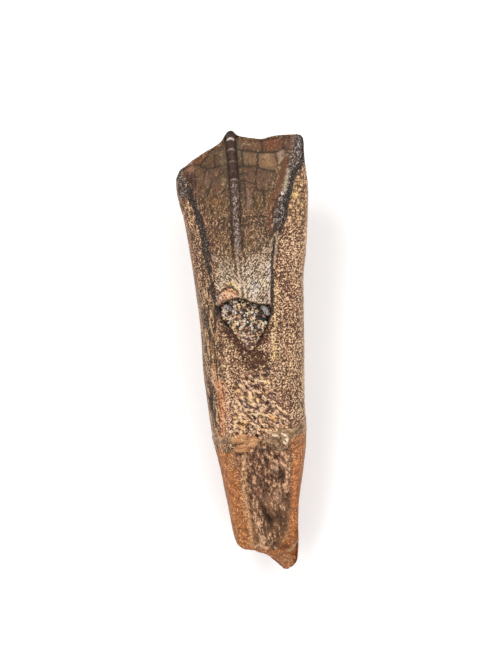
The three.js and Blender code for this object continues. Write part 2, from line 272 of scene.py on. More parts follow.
STREAKS = [  # (x, y) points of the low pale streaks into which the keel's lower end parts
    [(-0.85, 9.7), (-0.95, 9.0), (-0.95, 8.0), (-0.9, 6.5), (-0.95, 5.3)],
    [(-0.55, 8.6), (-0.47, 7.5), (-0.45, 6.2), (-0.42, 5.0)], [(0.02, 9.0), (0.2, 8.5), (0.32, 8.1)],
]
FURROWS = [
    [(-0.7, 8.9), (-0.68, 7.0), (-0.62, 5.1)], [(-0.42, 10.6), (-0.35, 9.4), (-0.15, 8.7), (0.1, 8.05)],
    [(-1.38, 11.0), (-1.33, 9.2), (-1.2, 8.3), (-1.18, 7.0)], [(-0.28, 8.0), (-0.24, 6.5), (-0.2, 5.0)],
]
CHIP = [  # (x, y) round the flake that has come off the enamel's lower left corner
    (-3.2, 4.45), (-2.6, 4.75), (-1.9, 5.0), (-1.12, 5.08), (-1.08, 5.6), (-1.35, 5.98),
    (-1.75, 6.12), (-2.3, 6.08), (-2.75, 5.82), (-3.12, 5.5), (-3.25, 5.0),
]
CHIP_DEPTH = 0.12
OLIVE_LIP = [(3.9, 14.9), (4.1, 15.4), (4.3, 16.0), (4.4, 16.6), (4.5, 17.1)]
# The thin line is a raised ridge along the right rim, painted pale as a highlight on it.
THIN_LIP = [(2.5, 7.8), (2.6, 8.4), (2.7, 9.0), (2.8, 9.6), (2.9, 10.3), (3.05, 11.0)]
KEEL_SIDE_DEPTH = 0.06
KEEL_STEP_RISE = 0.03
STREAK_RISE = 0.06
FURROW_DEPTH = 0.05
WART_RISE = 0.06
LEFT_RIM_RISE = 0.13
RIGHT_RIM_RISE = 0.07
LIP_RISE = 0.07
SEED_STEP = 17.3  # how far apart in the noise two seeds lie


def noise_at(places, octaves):
    """Noise of about -1 to 1 at each of some places."""
    return np.array([noise.fractal(place, 1.0, 2.0, octaves) for place in places.tolist()])


def mottle(size, octaves=3, seed=0, where=points):
    """Noise at every point of the tooth, with blotches of a size (mm, or mm along x, y, z)."""
    return noise_at(where / np.array(size) + SEED_STEP * seed, octaves)


def cells(size, seed=0):
    """For seeds scattered a size apart: how far the nearest and the next are, in sizes, and a
    number from 0 to 1 that belongs to the nearest."""
    found = [noise.voronoi(place) for place in (points / np.array(size) + SEED_STEP * seed).tolist()]
    near, next_near = np.array([distances[:2] for distances, _ in found]).T
    lot = np.array([seeds[0].dot((12.9898, 78.233, 37.719)) for _, seeds in found])
    return near, next_near, np.sin(lot) * 43758.5453 % 1


# Wide and then narrow waverings, which roughen every border, and places moved a little by them.
shift_x, shift_y = mottle(1.3, 3, 1), mottle(1.3, 3, 2)
jitter_x, jitter_y = mottle(0.5, 2, 3), mottle(0.5, 2, 4)
fx, fy = x + 0.05 * jitter_x, y + 0.05 * jitter_y


def from_segment(start, end, at_x=fx, at_y=fy):
    """How far places lie from the straight line between two (x, y) points."""
    (x0, y0), (x1, y1) = start, end
    run, climb = x1 - x0, y1 - y0
    share = np.clip(((at_x - x0) * run + (at_y - y0) * climb) / math.hypot(run, climb) ** 2, 0, 1)
    return np.hypot(at_x - x0 - share * run, at_y - y0 - share * climb)


def near_lines(lines, width, *places):
    """1 on any of the lines of (x, y) points, falling off within a width."""
    segments = [ends for line in lines for ends in zip(line, line[1:])]
    return np.max([hump(from_segment(*ends, *places), width) for ends in segments], axis=0)


def inside_of(outline):
    """How far each point lies inside an outline of (x, y) points; outside it is negative."""
    nearest = np.full_like(x, np.inf)
    within = np.zeros_like(x, bool)
    for (x0, y0), (x1, y1) in zip(outline, outline[1:] + outline[:1]):
        nearest = np.minimum(nearest, from_segment((x0, y0), (x1, y1)))
        if y0 != y1:
            within ^= ((y0 > fy) != (y1 > fy)) & (fx < x0 + (fy - y0) * (x1 - x0) / (y1 - y0))
    return np.where(within, nearest, -nearest)


def rim_along(distance, half_width, waver):
    """1 on the line of a dark rim with wavering sides, falling off beyond its half width."""
    return hump(((distance + waver * rim_wave) / half_width) ** 2, 1.0) * front


from_left, from_right = x - curve(LEFT_MARGIN)(y), curve(RIGHT_MARGIN)(y) - x
above_edge = fy - curve(LOWER_EDGE)(fx)
enamel = front * step(from_left, 0.2, 0.4) * step(from_right, 0.05, 0.2) * step(above_edge, 0, 0.1)
inside = step(from_left, 0.1, 1.0) * step(from_right, 0.1, 1.0)
keel_off = x - curve(KEEL_LINE)(y) + 0.03 * jitter_y
keel_half = curve(KEEL_HALF)(y)
keel = np.exp(-np.abs(keel_off / (1.1 * keel_half)) ** 4) * step(y, 8.6, 10.5) * enamel
keel_sides = hump(np.abs(keel_off) - keel_half - 0.08, 0.07) * enamel * step(y + shift_x, 9.5, 12.0)
keel_low = keel * (1 - step(y, 15.8, 16.4))
keel_steps_and_highlights = sum(much * hump(y + 0.7 * keel_off**2 - at, 0.09) for at, much in KEEL_STEPS_AND_HIGHLIGHTS) * keel
streaks = near_lines(STREAKS, 0.09) * enamel
furrows = near_lines(FURROWS, 0.08) * enamel
net_near, net_next, _ = cells((0.62, 0.8, 0.8), 27)
net = (1 - step(net_next - net_near, 0.0, 0.13)) * step(shift_y - 0.4 * shift_x, -0.5, 0.6)
crack = near_lines(CRACKS, CRACK_WIDTH) * (0.95 + 0.35 * jitter_x)
crack = np.maximum(crack, 0.45 * net * step(y, 11.5, 14)) * enamel
chip = step(inside_of(CHIP), -0.02, 0.08) * enamel
chip_edge = hump(inside_of(CHIP) - 0.02, 0.08) * enamel
rim_wave = 0.1 * mottle((0.5, 0.7, 0.5), 3, 23)
left_rim = rim_along(from_left, 0.15 + 0.17 * step(y, 7, 10), 1.3)
left_rim *= step(y, 2.9, 4.0) * (1 - step(y, 15.0, 17.6))
right_rim = rim_along(from_right, 0.15 + 0.08 * step(y, 11, 13), 1.2) * step(y, 2.6, 4.2)
rims = np.clip(left_rim + right_rim, 0, 1)
from_strip = x - curve(STRIP_LINE)(y)
strip_half = 0.29 * (1 + 0.45 * hump(y - 14.3, 1.4))
strip = hump(from_strip, strip_half) * step(y, 10.5, 11.5) * (1 - step(y, 18.2, 19.0)) * enamel
seam = enamel * step(from_strip, 0.24, 0.42) * step(y, 10.8, 12.2)
lips = 0.9 * near_lines([OLIVE_LIP], 0.13) * step(jitter_x + jitter_y, -1.0, 0.1)
lips = np.maximum(lips, 0.75 * near_lines([THIN_LIP], 0.06)) * front

fan = math.radians(35)  # the wrinkles fan out from the keel
off = np.abs(x - curve(KEEL_LINE)(y))
fan_across = off * math.cos(fan) - y * math.sin(fan)
fan_along = off * math.sin(fan) + y * math.cos(fan)
wrinkles = mottle((0.17, 0.6, 0.5), 3, 5, np.stack([fan_across, fan_along, z], 1))
pale = enamel * (1 - step(y + 1.2 * shift_x - 0.25 * (x + 0.7), 6.2, 10.9))
warts = 1 - step(cells((0.3, 0.34, 0.3), 6)[0], 0.1, 0.62)
relief = enamel * (KEEL_HEIGHT * keel - FACE_HOLLOW * inside * (1 - keel))
relief += STREAK_RISE * streaks - FURROW_DEPTH * furrows - KEEL_SIDE_DEPTH * keel_sides
relief += KEEL_STEP_RISE * keel_steps_and_highlights + WART_RISE * keel_low * (warts - 0.4) + LIP_RISE * lips
relief += (LEFT_RIM_RISE + 0.09 * jitter_x) * left_rim + (RIGHT_RIM_RISE + 0.05 * jitter_y) * right_rim
relief += enamel * (0.04 * mottle(1.7, 2, 7) + (0.016 + 0.035 * pale) * wrinkles)
relief -= CRACK_DEPTH * crack + CHIP_DEPTH * chip - 0.05 * chip * mottle((0.7, 0.16, 0.3), 2, 24)

# ------------------------------------------------------------------------------------------
# Stains: minerals have coloured the fossil in patches that keep to no part of it, so these are
# laid over everything else as ovals and strokes with ragged edges. A few are painted light and
# shade instead: a glint, highlights on the crown and keel, and shade beside the keel.

STAINS_AND_GLINT = [  # x, y, half width, half height, how strong, and the colour
    # The second oval here is a painted glint: a white spot on the right rim.
    (1.4, 19.7, 0.75, 0.34, 0.7, (108, 74, 52)), (3.8, 14.78, 0.15, 0.2, 1.0, (250, 246, 246)),
    (-4.85, 17.75, 0.5, 0.35, 0.6, (160, 114, 88)),
    (-4.95, 16.7, 0.42, 0.9, 0.6, (80, 52, 42)), (-4.6, 15.4, 0.3, 0.7, 0.6, (92, 60, 46)),
    (5.3, 18.2, 0.5, 1.0, 0.45, (140, 118, 106)),
    (-1.3, 6.3, 1.3, 0.8, 0.4, (190, 152, 104)), (2.5, 18.5, 0.45, 0.3, 0.6, (172, 142, 114)),
    (4.0, 18.55, 0.55, 0.6, 0.55, (176, 148, 130)), (2.7, 17.8, 0.5, 0.4, 0.5, (164, 122, 80)),
    (3.75, 17.9, 0.15, 0.35, 0.5, (176, 140, 104)),
    (3.9, 18.15, 0.16, 0.3, 0.6, (150, 130, 108)), (0.05, 19.3, 0.25, 1.0, 0.6, (104, 92, 70)),
    (-1.65, 18.6, 0.35, 1.1, 0.6, (104, 90, 66)), (-1.75, 16.4, 0.3, 0.5, 0.6, (128, 112, 80)),
    (-2.6, 14.5, 0.5, 0.4, 0.65, (136, 92, 54)), (-3.3, 16.8, 0.5, 0.8, 0.5, (128, 94, 76)),
    (0.5, 14.4, 0.45, 0.9, 0.55, (142, 110, 92)), (1.0, 16.4, 0.4, 0.7, 0.4, (126, 94, 72)),
    (-2.2, 13.3, 0.8, 0.6, 0.4, (128, 98, 66)), (-3.7, 13.4, 0.16, 0.4, 0.5, (150, 100, 74)),
    (-0.8, 19.85, 0.22, 0.35, 0.6, (70, 44, 38)), (-0.8, 18.7, 0.25, 0.5, 0.5, (98, 66, 58)),
    (5.75, 19.4, 0.3, 0.6, 0.5, (98, 88, 80)),
    (-1.45, 7.8, 0.22, 0.9, 0.6, (118, 104, 84)), (-2.3, 7.9, 0.55, 0.8, 0.55, (168, 150, 124)),
    (-3.2, 7.4, 0.13, 0.6, 0.7, (146, 86, 62)), (-3.48, 7.4, 0.08, 0.4, 0.8, (236, 206, 166)),
    (-3.3, 9.2, 0.4, 0.5, 0.4, (146, 116, 104)), (0.5, 5.9, 0.55, 0.7, 0.7, (190, 178, 172)),
    (1.35, 5.2, 0.35, 0.5, 0.6, (162, 118, 98)), (2.05, 7.2, 0.14, 1.0, 0.75, (190, 180, 178)),
    (1.45, 6.3, 0.14, 0.5, 0.6, (226, 208, 156)), (0.9, 10.6, 0.7, 0.6, 0.4, (112, 92, 72)),
    (-3.0, 4.85, 0.22, 0.28, 0.8, (176, 160, 154)), (4.95, 14.5, 0.48, 0.4, 0.8, (244, 204, 138)),
    (5.3, 15.4, 0.4, 0.45, 0.7, (238, 196, 136)), (5.2, 13.6, 0.35, 0.35, 0.5, (232, 188, 130)),
    (-5.5, 14.2, 0.3, 0.5, 0.45, (200, 154, 104)), (-5.25, 13.0, 0.3, 0.6, 0.3, (186, 140, 98)),
    (2.2, -0.6, 0.7, 1.0, 0.45, (206, 168, 122)), (3.8, -0.9, 0.25, 1.0, 0.45, (214, 176, 126)),
    (3.2, 4.2, 0.25, 1.6, 0.5, (134, 92, 70)), (4.3, 9.0, 0.6, 1.8, 0.4, (178, 134, 108)),
    (-3.9, 0.6, 0.18, 1.6, 0.5, (188, 142, 96)), (-2.7, 0.6, 0.35, 1.2, 0.45, (184, 146, 104)),
    (-2.4, -2.2, 0.9, 1.1, 0.55, (176, 128, 100)), (-3.3, -3.6, 0.4, 0.6, 0.6, (182, 122, 88)),
    (2.2, -1.9, 0.6, 0.9, 0.45, (176, 132, 110)), (-3.1, -5.2, 0.7, 2.2, 0.5, (188, 130, 100)),
    (2.7, -5.4, 0.7, 1.8, 0.5, (164, 116, 92)), (1.3, -2.2, 0.35, 0.5, 0.7, (98, 72, 64)),
    (-2.9, -4.8, 0.5, 1.3, 0.5, (180, 132, 104)), (-2.9, -7.1, 0.45, 0.7, 0.5, (166, 128, 112)),
    (3.4, -6.0, 0.6, 1.6, 0.6, (148, 104, 80)), (1.3, -6.65, 0.3, 0.3, 0.6, (236, 172, 104)),
    (-1.4, -7.1, 0.3, 0.3, 0.6, (230, 164, 104)), (-1.85, -7.5, 0.4, 0.2, 0.7, (234, 186, 140)),
    (0.65, -7.9, 0.3, 0.4, 0.75, (190, 138, 94)), (-0.5, -7.4, 0.28, 0.34, 0.75, (100, 92, 86)),
    (-0.45, -6.3, 0.25, 0.35, 0.7, (104, 94, 88)),
    (-0.2, -6.2, 0.22, 0.25, 0.7, (172, 166, 158)), (-3.2, -9.5, 0.6, 0.35, 0.75, (112, 86, 66)),
    (-4.1, -9.6, 0.25, 1.2, 0.5, (122, 88, 64)), (0.6, -9.6, 0.6, 0.4, 0.6, (104, 76, 62)),
    (1.35, -11.5, 0.35, 0.7, 0.6, (158, 132, 110)), (1.3, -14.4, 0.5, 0.9, 0.55, (162, 122, 98)),
    (0.75, -17.2, 0.6, 1.1, 0.65, (112, 80, 54)), (1.5, -18.5, 0.6, 0.4, 0.6, (150, 102, 64)),
    (-0.35, -19.2, 0.5, 0.25, 0.7, (204, 160, 132)),
    (0.5, -19.6, 0.25, 0.3, 0.7, (84, 70, 58)), (-1.2, -13.2, 0.3, 0.5, 0.5, (116, 92, 70)),
    (-3.7, -13.0, 0.15, 5.0, 0.4, (146, 98, 64)), (3.3, -8.1, 0.6, 0.4, 0.5, (158, 132, 104)),
    (3.6, -9.1, 0.5, 0.5, 0.6, (150, 104, 74)),
    (-2.9, -10.7, 0.45, 0.8, 0.6, (148, 108, 80)), (0.1, -19.6, 0.5, 0.3, 0.6, (128, 98, 78)),
]
PATCHES = [  # (x, y) round blocks of one colour between cracks, how strong, and the colour
    ([(2.25, 20.1), (4.1, 20.3), (4.05, 19.2), (3.2, 18.98), (2.25, 19.1)], 0.8, (112, 68, 44)),
    ([(4.35, 20.3), (5.15, 20.3), (5.2, 19.1), (4.8, 18.95), (4.3, 19.2)], 0.7, (108, 72, 60)),
    ([(-5.3, 18.1), (-4.2, 18.75), (-3.1, 19.3), (-3.0, 19.1), (-3.5, 18.6), (-4.4, 18.1)],
     0.85, (124, 74, 46)),
    ([(-5.2, 17.4), (-4.75, 17.1), (-4.6, 16.5), (-4.75, 16.0), (-5.2, 16.3), (-5.5, 16.9)],
     0.85, (68, 43, 34)),
    ([(5.3, 20.4), (6.2, 20.2), (6.2, 18.4), (5.7, 18.3), (5.2, 19.0)], 0.6, (110, 98, 94)),
    ([(0.25, 19.1), (1.6, 18.9), (1.55, 17.75), (0.3, 17.75)], 0.6, (128, 98, 70)),
    ([(1.8, 18.85), (3.3, 18.75), (3.5, 17.8), (3.2, 17.1), (2.2, 17.3), (1.75, 17.6)],
     0.6, (138, 106, 76)),
    ([(1.6, 17.1), (3.1, 16.8), (2.8, 15.4), (1.6, 15.4), (1.4, 16.2)], 0.5, (112, 82, 64)),
    ([(0.2, 20.4), (1.95, 20.2), (2.0, 19.1), (0.2, 19.35)], 0.5, (112, 78, 54)),
    ([(2.9, 14.9), (3.6, 15.7), (3.75, 15.2), (3.35, 14.1), (2.8, 13.0), (2.2, 12.9), (2.35, 13.9)],
     0.6, (120, 78, 52)),
]
BANDS = [  # (x, y) along bands of one colour, half width, how strong, and the colour
    ([(-1.95, 6.45), (-1.65, 6.6), (-1.25, 6.15), (-0.98, 5.8), (-0.9, 5.1)], 0.1, 0.9, (250, 208, 142)),
    ([(1.9, -1.0), (2.0, 0.0), (2.25, 2.0), (2.32, 3.0), (2.55, 5.5), (2.66, 6.6)],
     0.17, 0.7, (224, 184, 118)),
    ([(-3.35, 4.5), (-3.2, 3.6), (-2.85, 2.7), (-2.3, 1.9)], 0.13, 0.8, (72, 54, 44)),
    ([(-4.6, -2.5), (-4.55, -5.5), (-4.3, -8.5)], 0.3, 0.7, (106, 76, 58)),
    ([(6.2, 17.3), (6.15, 14.0), (5.9, 11.5), (5.55, 9.5), (5.2, 7.5)], 0.3, 0.75, (202, 152, 114)),
    ([(-4.95, 5.5), (-4.9, 3.0), (-4.8, 0.0), (-4.8, -2.5)], 0.2, 0.6, (98, 80, 70)),
    ([(-5.3, 14.4), (-5.0, 12.5), (-4.75, 11.0)], 0.22, 0.45, (196, 150, 104)),
    ([(-4.05, 13.4), (-3.9, 12.8), (-3.75, 12.3)], 0.06, 0.9, (228, 160, 124)),
    ([(-3.35, 8.3), (-3.2, 7.0), (-3.12, 5.6)], 0.13, 0.8, (140, 88, 62)),
    ([(3.15, 9.5), (3.2, 6.0), (3.2, 2.0)], 0.2, 0.4, (134, 92, 70)),
    ([(-0.85, 9.4), (-0.82, 7.5), (-0.65, 5.2)], 0.3, 0.6, (164, 136, 122)),
    ([(0.05, 7.6), (0.2, 6.0), (0.3, 4.9)], 0.12, 0.5, (196, 184, 176)),
    ([(-3.6, -8.6), (-3.5, -6.0), (-3.45, -3.0)], 0.38, 0.8, (194, 120, 76)),
    ([(-4.2, -9.4), (-3.65, -13.5), (-3.0, -18.2)], 0.2, 0.6, (132, 84, 54)),
    ([(-0.75, -16.2), (-0.7, -17.5), (-0.55, -19.0)], 0.22, 0.6, (184, 138, 106)),
    ([(1.7, -10.5), (2.1, -11.2), (2.35, -12.2), (2.3, -13.2)], 0.15, 0.4, (214, 178, 152)),
    ([(0.05, -9.9), (0.5, -10.2), (0.9, -10.6)], 0.14, 0.45, (206, 172, 152)),
    ([(1.45, -15.9), (1.5, -16.6), (1.4, -17.5)], 0.28, 0.7, (100, 66, 43)),
    ([(-1.2, -14.3), (-1.2, -16.5), (-1.15, -18.7)], 0.15, 0.8, (96, 66, 48)),
    ([(-3.9, -1.0), (-3.9, -3.4)], 0.12, 0.8, (206, 136, 92)),
    ([(-1.75, -10.4), (-1.75, -13.5), (-1.5, -17.0), (-1.4, -18.8)], 0.42, 0.7, (188, 138, 96)),
    ([(3.3, -11.0), (3.0, -14.0), (2.5, -18.0)], 0.32, 0.65, (206, 124, 70)),
    ([(4.75, 14.4), (4.95, 14.0), (5.35, 13.95), (5.6, 14.3)], 0.08, 0.9, (58, 48, 40)),
    ([(4.95, 15.3), (5.2, 15.5), (5.6, 15.3), (5.7, 14.8)], 0.08, 0.9, (58, 48, 40)),
    ([(5.45, 16.5), (5.7, 16.1), (6.0, 16.0)], 0.07, 0.8, (66, 54, 44)),
    ([(5.0, 13.0), (5.3, 12.6)], 0.08, 0.8, (62, 50, 42)),
    ([(-1.45, 17.4), (-2.6, 16.5), (-3.6, 15.2)], 0.07, 0.5, (152, 122, 92)),
    ([(-1.5, 16.0), (-2.5, 15.0)], 0.07, 0.5, (150, 122, 92)),
    ([(2.0, 13.0), (2.5, 14.6), (3.1, 16.2), (3.7, 17.8)], 0.06, 0.6, (196, 158, 118)),
    ([(2.6, 12.9), (3.0, 13.6), (3.3, 14.5)], 0.1, 0.9, (44, 37, 33)),
    ([(3.25, 10.6), (2.98, 9.0), (2.72, 7.7), (2.56, 6.6)], 0.07, 0.9, (62, 46, 38)),
    ([(-3.15, 5.2), (-2.6, 5.85), (-2.1, 6.08), (-1.5, 6.08), (-1.08, 5.7), (-1.05, 5.1)],
     0.07, 1.0, (70, 44, 34)),
    ([(4.95, 17.1), (4.75, 16.2), (4.65, 15.5), (4.4, 14.8), (4.05, 14.0)], 0.12, 0.9, (42, 38, 34)),
    ([(3.95, 13.9), (3.55, 13.2), (3.2, 12.2), (3.08, 11.3)], 0.12, 0.75, (44, 39, 35)),
    ([(3.68, 17.4), (3.58, 16.5), (3.2, 15.9), (2.96, 15.4)], 0.06, 0.7, (196, 154, 108)),
    ([(-4.1, 8.5), (-4.0, 5.5), (-3.9, 2.5), (-3.7, 0.0)], 0.3, 0.5, (98, 76, 60)),
    ([(-1.2, -19.0), (-0.8, -18.85), (-0.3, -19.1), (0.0, -19.5)], 0.08, 0.8, (208, 166, 134)),
    ([(-1.1, -19.25), (-0.7, -19.1), (-0.4, -19.4)], 0.06, 0.8, (120, 84, 62)),
    ([(1.12, -6.4), (1.3, -6.7), (1.6, -6.95)], 0.13, 0.9, (240, 176, 100)),
    ([(1.05, -7.2), (1.3, -7.5), (1.25, -7.8)], 0.08, 0.9, (232, 172, 108)),
    ([(-1.75, -6.9), (-1.5, -7.25), (-1.2, -7.05)], 0.12, 0.9, (236, 168, 100)),
    # The next three bands are painted highlights: two thin lines near the crown's top and an arc on the
    # keel's top.
    ([(0.35, 19.85), (0.9, 19.75), (1.4, 19.8)], 0.05, 0.8, (172, 144, 114)),
    ([(-2.9, 18.95), (-2.3, 19.15), (-1.8, 19.35)], 0.07, 0.9, (164, 132, 98)),
    ([(-1.12, 20.2), (-0.8, 20.38), (-0.5, 20.2)], 0.08, 1.0, (232, 222, 208)),
    ([(-2.9, 5.55), (-2.3, 5.75), (-1.7, 5.6), (-1.3, 5.3)], 0.06, 0.7, (132, 84, 60)),
    ([(0.75, -16.9), (0.95, -17.6), (1.3, -18.2)], 0.3, 0.5, (120, 82, 52)),
    ([(-2.85, 5.9), (-2.4, 6.25), (-1.95, 6.6), (-1.6, 6.7), (-1.35, 6.25)], 0.07, 0.9, (240, 198, 146)),
]


def colour(red, green, blue):
    """A colour from the usual 0 to 255 values."""
    shares = (red / 255, green / 255, blue / 255)
    return tuple(s / 12.92 if s < 0.04045 else ((s + 0.055) / 1.055) ** 2.4 for s in shares) + (1.0,)


def stain(cover, tint):
    """Lays a tint over the stains and painted light so far, as thickly as cover says at each point."""
    stain_and_light_tint[:] += (np.array(colour(*tint)[:3]) - stain_and_light_tint) * cover[:, None]
    stain_and_light_cover[:] += (1 - stain_and_light_cover) * cover


stain_and_light_tint, stain_and_light_cover = np.zeros((len(points), 3)), np.zeros(len(points))
ragged = 0.3 * jitter_x + 0.2 * shift_y
# calm covers stains and painted highlights laid thickly enough that little grain shows through, and the
# chip's edge.
calm = np.zeros(len(points))  # where a stain is so thick that little grain shows through
stain(0.5 * near_lines(CRACKS, 0.22) * enamel, (74, 58, 43))
# Painted shade in a band beside both sides of the keel, above its lower end.
stain(0.5 * hump(np.abs(keel_off) - keel_half - 0.32, 0.2) * enamel * step(y, 9, 11.5), (84, 73, 57))
for middle_x, middle_y, half_x, half_y, strength, tint in STAINS_AND_GLINT:
    inner = np.hypot((x + 0.08 * jitter_x - middle_x) / half_x, (y + 0.08 * jitter_y - middle_y) / half_y)
    cover = strength * (1 - step(inner + ragged, 0.6, 1.25)) * front
    stain(cover, tint)
    calm = np.maximum(calm, cover * (strength >= 0.8))
for outline, strength, tint in PATCHES:
    stain(strength * step(inside_of(outline) + 0.03 * jitter_y, -0.02, 0.1) * front, tint)
for line, width, strength, tint in BANDS:
    cover = strength * near_lines([line], width) * step(jitter_x + 0.6 * shift_y, -1.1, -0.1) * front
    stain(cover, tint)
    calm = np.maximum(calm, cover * (strength >= 0.9))
stain(0.95 * chip, (208, 136, 84))
stain(0.7 * chip * step(-fx, 2.6, 2.95), (158, 132, 122))
stain(chip_edge, (84, 52, 40))
calm = np.maximum(calm, chip_edge)

# ------------------------------------------------------------------------------------------
# Flanks: rough cement-grained dentine beside the plate. It is in golden cobbles high on the
# right, in grey nubs towards both corners of the crown, in fine grains lower down, and in
# fibres along the tooth on the left.

GRAIN_RISE = 0.05
FIBRE_RISE = 0.035
CLOD_RISE = 0.03
COBBLE_RISE = 0.09
COBBLE_GAP_DEPTH = 0.07
NUB_RISE = 0.1

grain_near, _, grain_lot = cells((0.27, 0.36, 0.3), 8)
grains = 1 - step(grain_near, 0.08, 0.6)
cobble_near, cobble_next, cobble_lot = cells((0.44, 0.5, 0.46), 9)
cobble_gaps = (1 - step(cobble_next - cobble_near, 0.05, 0.42)) * step(shift_x + jitter_y, -1.2, 0.1)
cobbles = 1 - step(cobble_near, 0.2, 0.75)
fibres = mottle((0.2, 2.2, 0.4), 3, 10)
clods = mottle(0.8, 3, 11)

flank = front * (1 - enamel) * (1 - rims)
on_right = step(x, 0.0, 1.0)
nubs_from = 14.4 + 2.2 * on_right
nubs = np.maximum(seam, flank * step(y + 0.4 * shift_x, nubs_from, nubs_from + 0.8))
coarse = flank * (1 - nubs) * step(x, 2.5, 4.0) * (1 - step(x, 5.6, 6.2))
coarse *= on_right * step(y + 0.3 * shift_x, 10.6, 12.8)
fibrous = flank * (1 - step(x, -3.6, -2.6)) * (1 - 0.6 * step(y, 4, 9))
plain_flank = flank * (1 - nubs) * (1 - coarse)
# Grains and cobbles are lighter and the gaps between them darker: the dentine's own speckle, with painted
# glints on the tops and painted shade in the sunk gaps.
flank_light = (1.1 * (grains - 0.5) + 0.8 * (grain_lot - 0.45)) * (1 - 0.7 * fibrous)
flank_light = plain_flank * (0.7 * flank_light + fibres * (0.25 + 1.0 * fibrous) + 0.3 * clods)
flank_light += coarse * (1.0 * (cobbles - 0.4) + 1.0 * (cobble_lot - 0.4) - 2.3 * cobble_gaps)
flank_light += nubs * (1.3 * (warts - 0.45) + 0.3 * clods)
relief += plain_flank * (GRAIN_RISE * (grains - 0.4) + FIBRE_RISE * fibres + CLOD_RISE * clods)
relief += coarse * (COBBLE_RISE * cobbles - COBBLE_GAP_DEPTH * cobble_gaps)
relief += NUB_RISE * nubs * (warts - 0.4)

# ------------------------------------------------------------------------------------------
# The hollow under the enamel's broken end: a steep-walled pit in the bare dentine, whose upper
# edge follows the end of the plate. A smooth dark funnel lies round its lower point.

HOLLOW = [  # (x, y) round it
    (0.1, -0.05), (0.5, 0.5), (0.9, 1.0), (1.2, 1.5), (1.5, 2.0), (1.72, 2.5), (1.95, 3.2),
    (2.0, 3.9), (1.85, 4.25), (1.2, 4.3), (0.6, 4.4), (0.0, 4.6), (-0.5, 4.9), (-1.2, 5.05),
    (-1.8, 5.0), (-2.5, 4.75), (-3.25, 4.4), (-3.2, 3.9), (-3.05, 3.2), (-2.8, 2.6), (-2.3, 2.2),
    (-1.9, 1.8), (-1.4, 1.0), (-1.0, 0.1), (-0.4, -0.15),
]
HOLLOW_DEPTH = 1.0
FUNNEL_DEPTH = 0.26
FUNNEL_STREAK_RISE = 0.03


def oval(middle_x, middle_y, half_x, half_y):
    """1 at a place, falling to nothing outside an oval round it."""
    return hump((x - middle_x) / half_x, 1.0) * hump((y - middle_y) / half_y, 1.0)


in_hollow = inside_of(HOLLOW)
hollow = step(in_hollow, -0.02, 0.18) * front
hollow_edge = hump(in_hollow - 0.05, 0.1) * front
funnel = step(in_hollow + 0.2 * shift_y, -0.95, -0.2) * (1 - step(y, 1.6, 3.0)) * front
fosse = 1.4 * oval(0.1, -1.0, 1.5, 1.15) + 0.3 * shift_x * oval(0.3, -1.1, 1.5, 1.2)
fosse = np.clip(np.maximum(fosse * front, funnel), 0, 1) * (1 - hollow)
fosse_streaks = mottle((0.75, 0.17, 0.4), 3, 12)
relief -= HOLLOW_DEPTH * hollow + fosse * (FUNNEL_DEPTH - FUNNEL_STREAK_RISE * fosse_streaks)

# ------------------------------------------------------------------------------------------
# The root: a broad channel down its front. Above the old break it is filled with a honeycomb
# crust of pits between pale walls, and below it with lumpy ridges between smooth orange walls.

GROOVE_LINE = [(-21.5, 1.9), (-15.0, 1.1), (-8.0, 0.35), (-1.5, -0.2)]  # (y, x) up its middle
GROOVE_HALF_WIDTH = 2.1
GROOVE_DEPTH = 0.75
BREAK_LINE = [(-4.5, -8.7), (-2.4, -8.75), (-0.6, -8.5), (1.2, -8.3), (2.2, -8.0), (4.5, -7.75)]  # (x, y)
CRUST_LEFT = [(-8.8, -2.6), (-6.0, -2.4), (-4.2, -2.1), (-2.6, -1.7), (-1.7, -0.6)]  # (y, x)
CRUST_RIGHT = [(-8.4, 2.7), (-5.8, 2.6), (-4.2, 2.1), (-2.7, 1.3), (-1.7, 0.5)]
CHANNEL_LEFT = [(-19.5, -1.0), (-18.0, -1.3), (-14.7, -1.8), (-12.0, -2.1), (-8.8, -2.6)]
CHANNEL_RIGHT = [(-19.5, 0.9), (-18.3, 1.8), (-17.0, 2.2), (-15.0, 2.55), (-13.0, 2.7), (-8.8, 2.85)]
LEFT_RIDGE = [(-1.45, -18.8), (-1.55, -17.0), (-1.7, -15.5), (-1.85, -13.5), (-1.75, -11.0), (-1.5, -10.2)]
MIDDLE_RIDGE = [(-0.1, -19.0), (-0.45, -18.2), (-0.6, -17.2), (-0.5, -16.2), (-0.75, -15.3), (-1.0, -14.3)]
CREAM_LUMPS = [  # (x, y) along pale lumps in the channel, and pale walls between the crust's pits
    [(0.55, -10.2), (0.8, -10.4), (1.0, -10.7)], [(1.6, -10.9), (1.9, -11.2), (2.3, -11.3), (2.6, -11.7)],
    [(2.3, -10.3), (2.45, -10.8)], [(2.35, -12.0), (2.4, -12.5)], [(2.25, -13.0), (2.25, -13.8)],
    [(2.45, -8.5), (2.7, -8.9), (2.55, -9.4)],
]
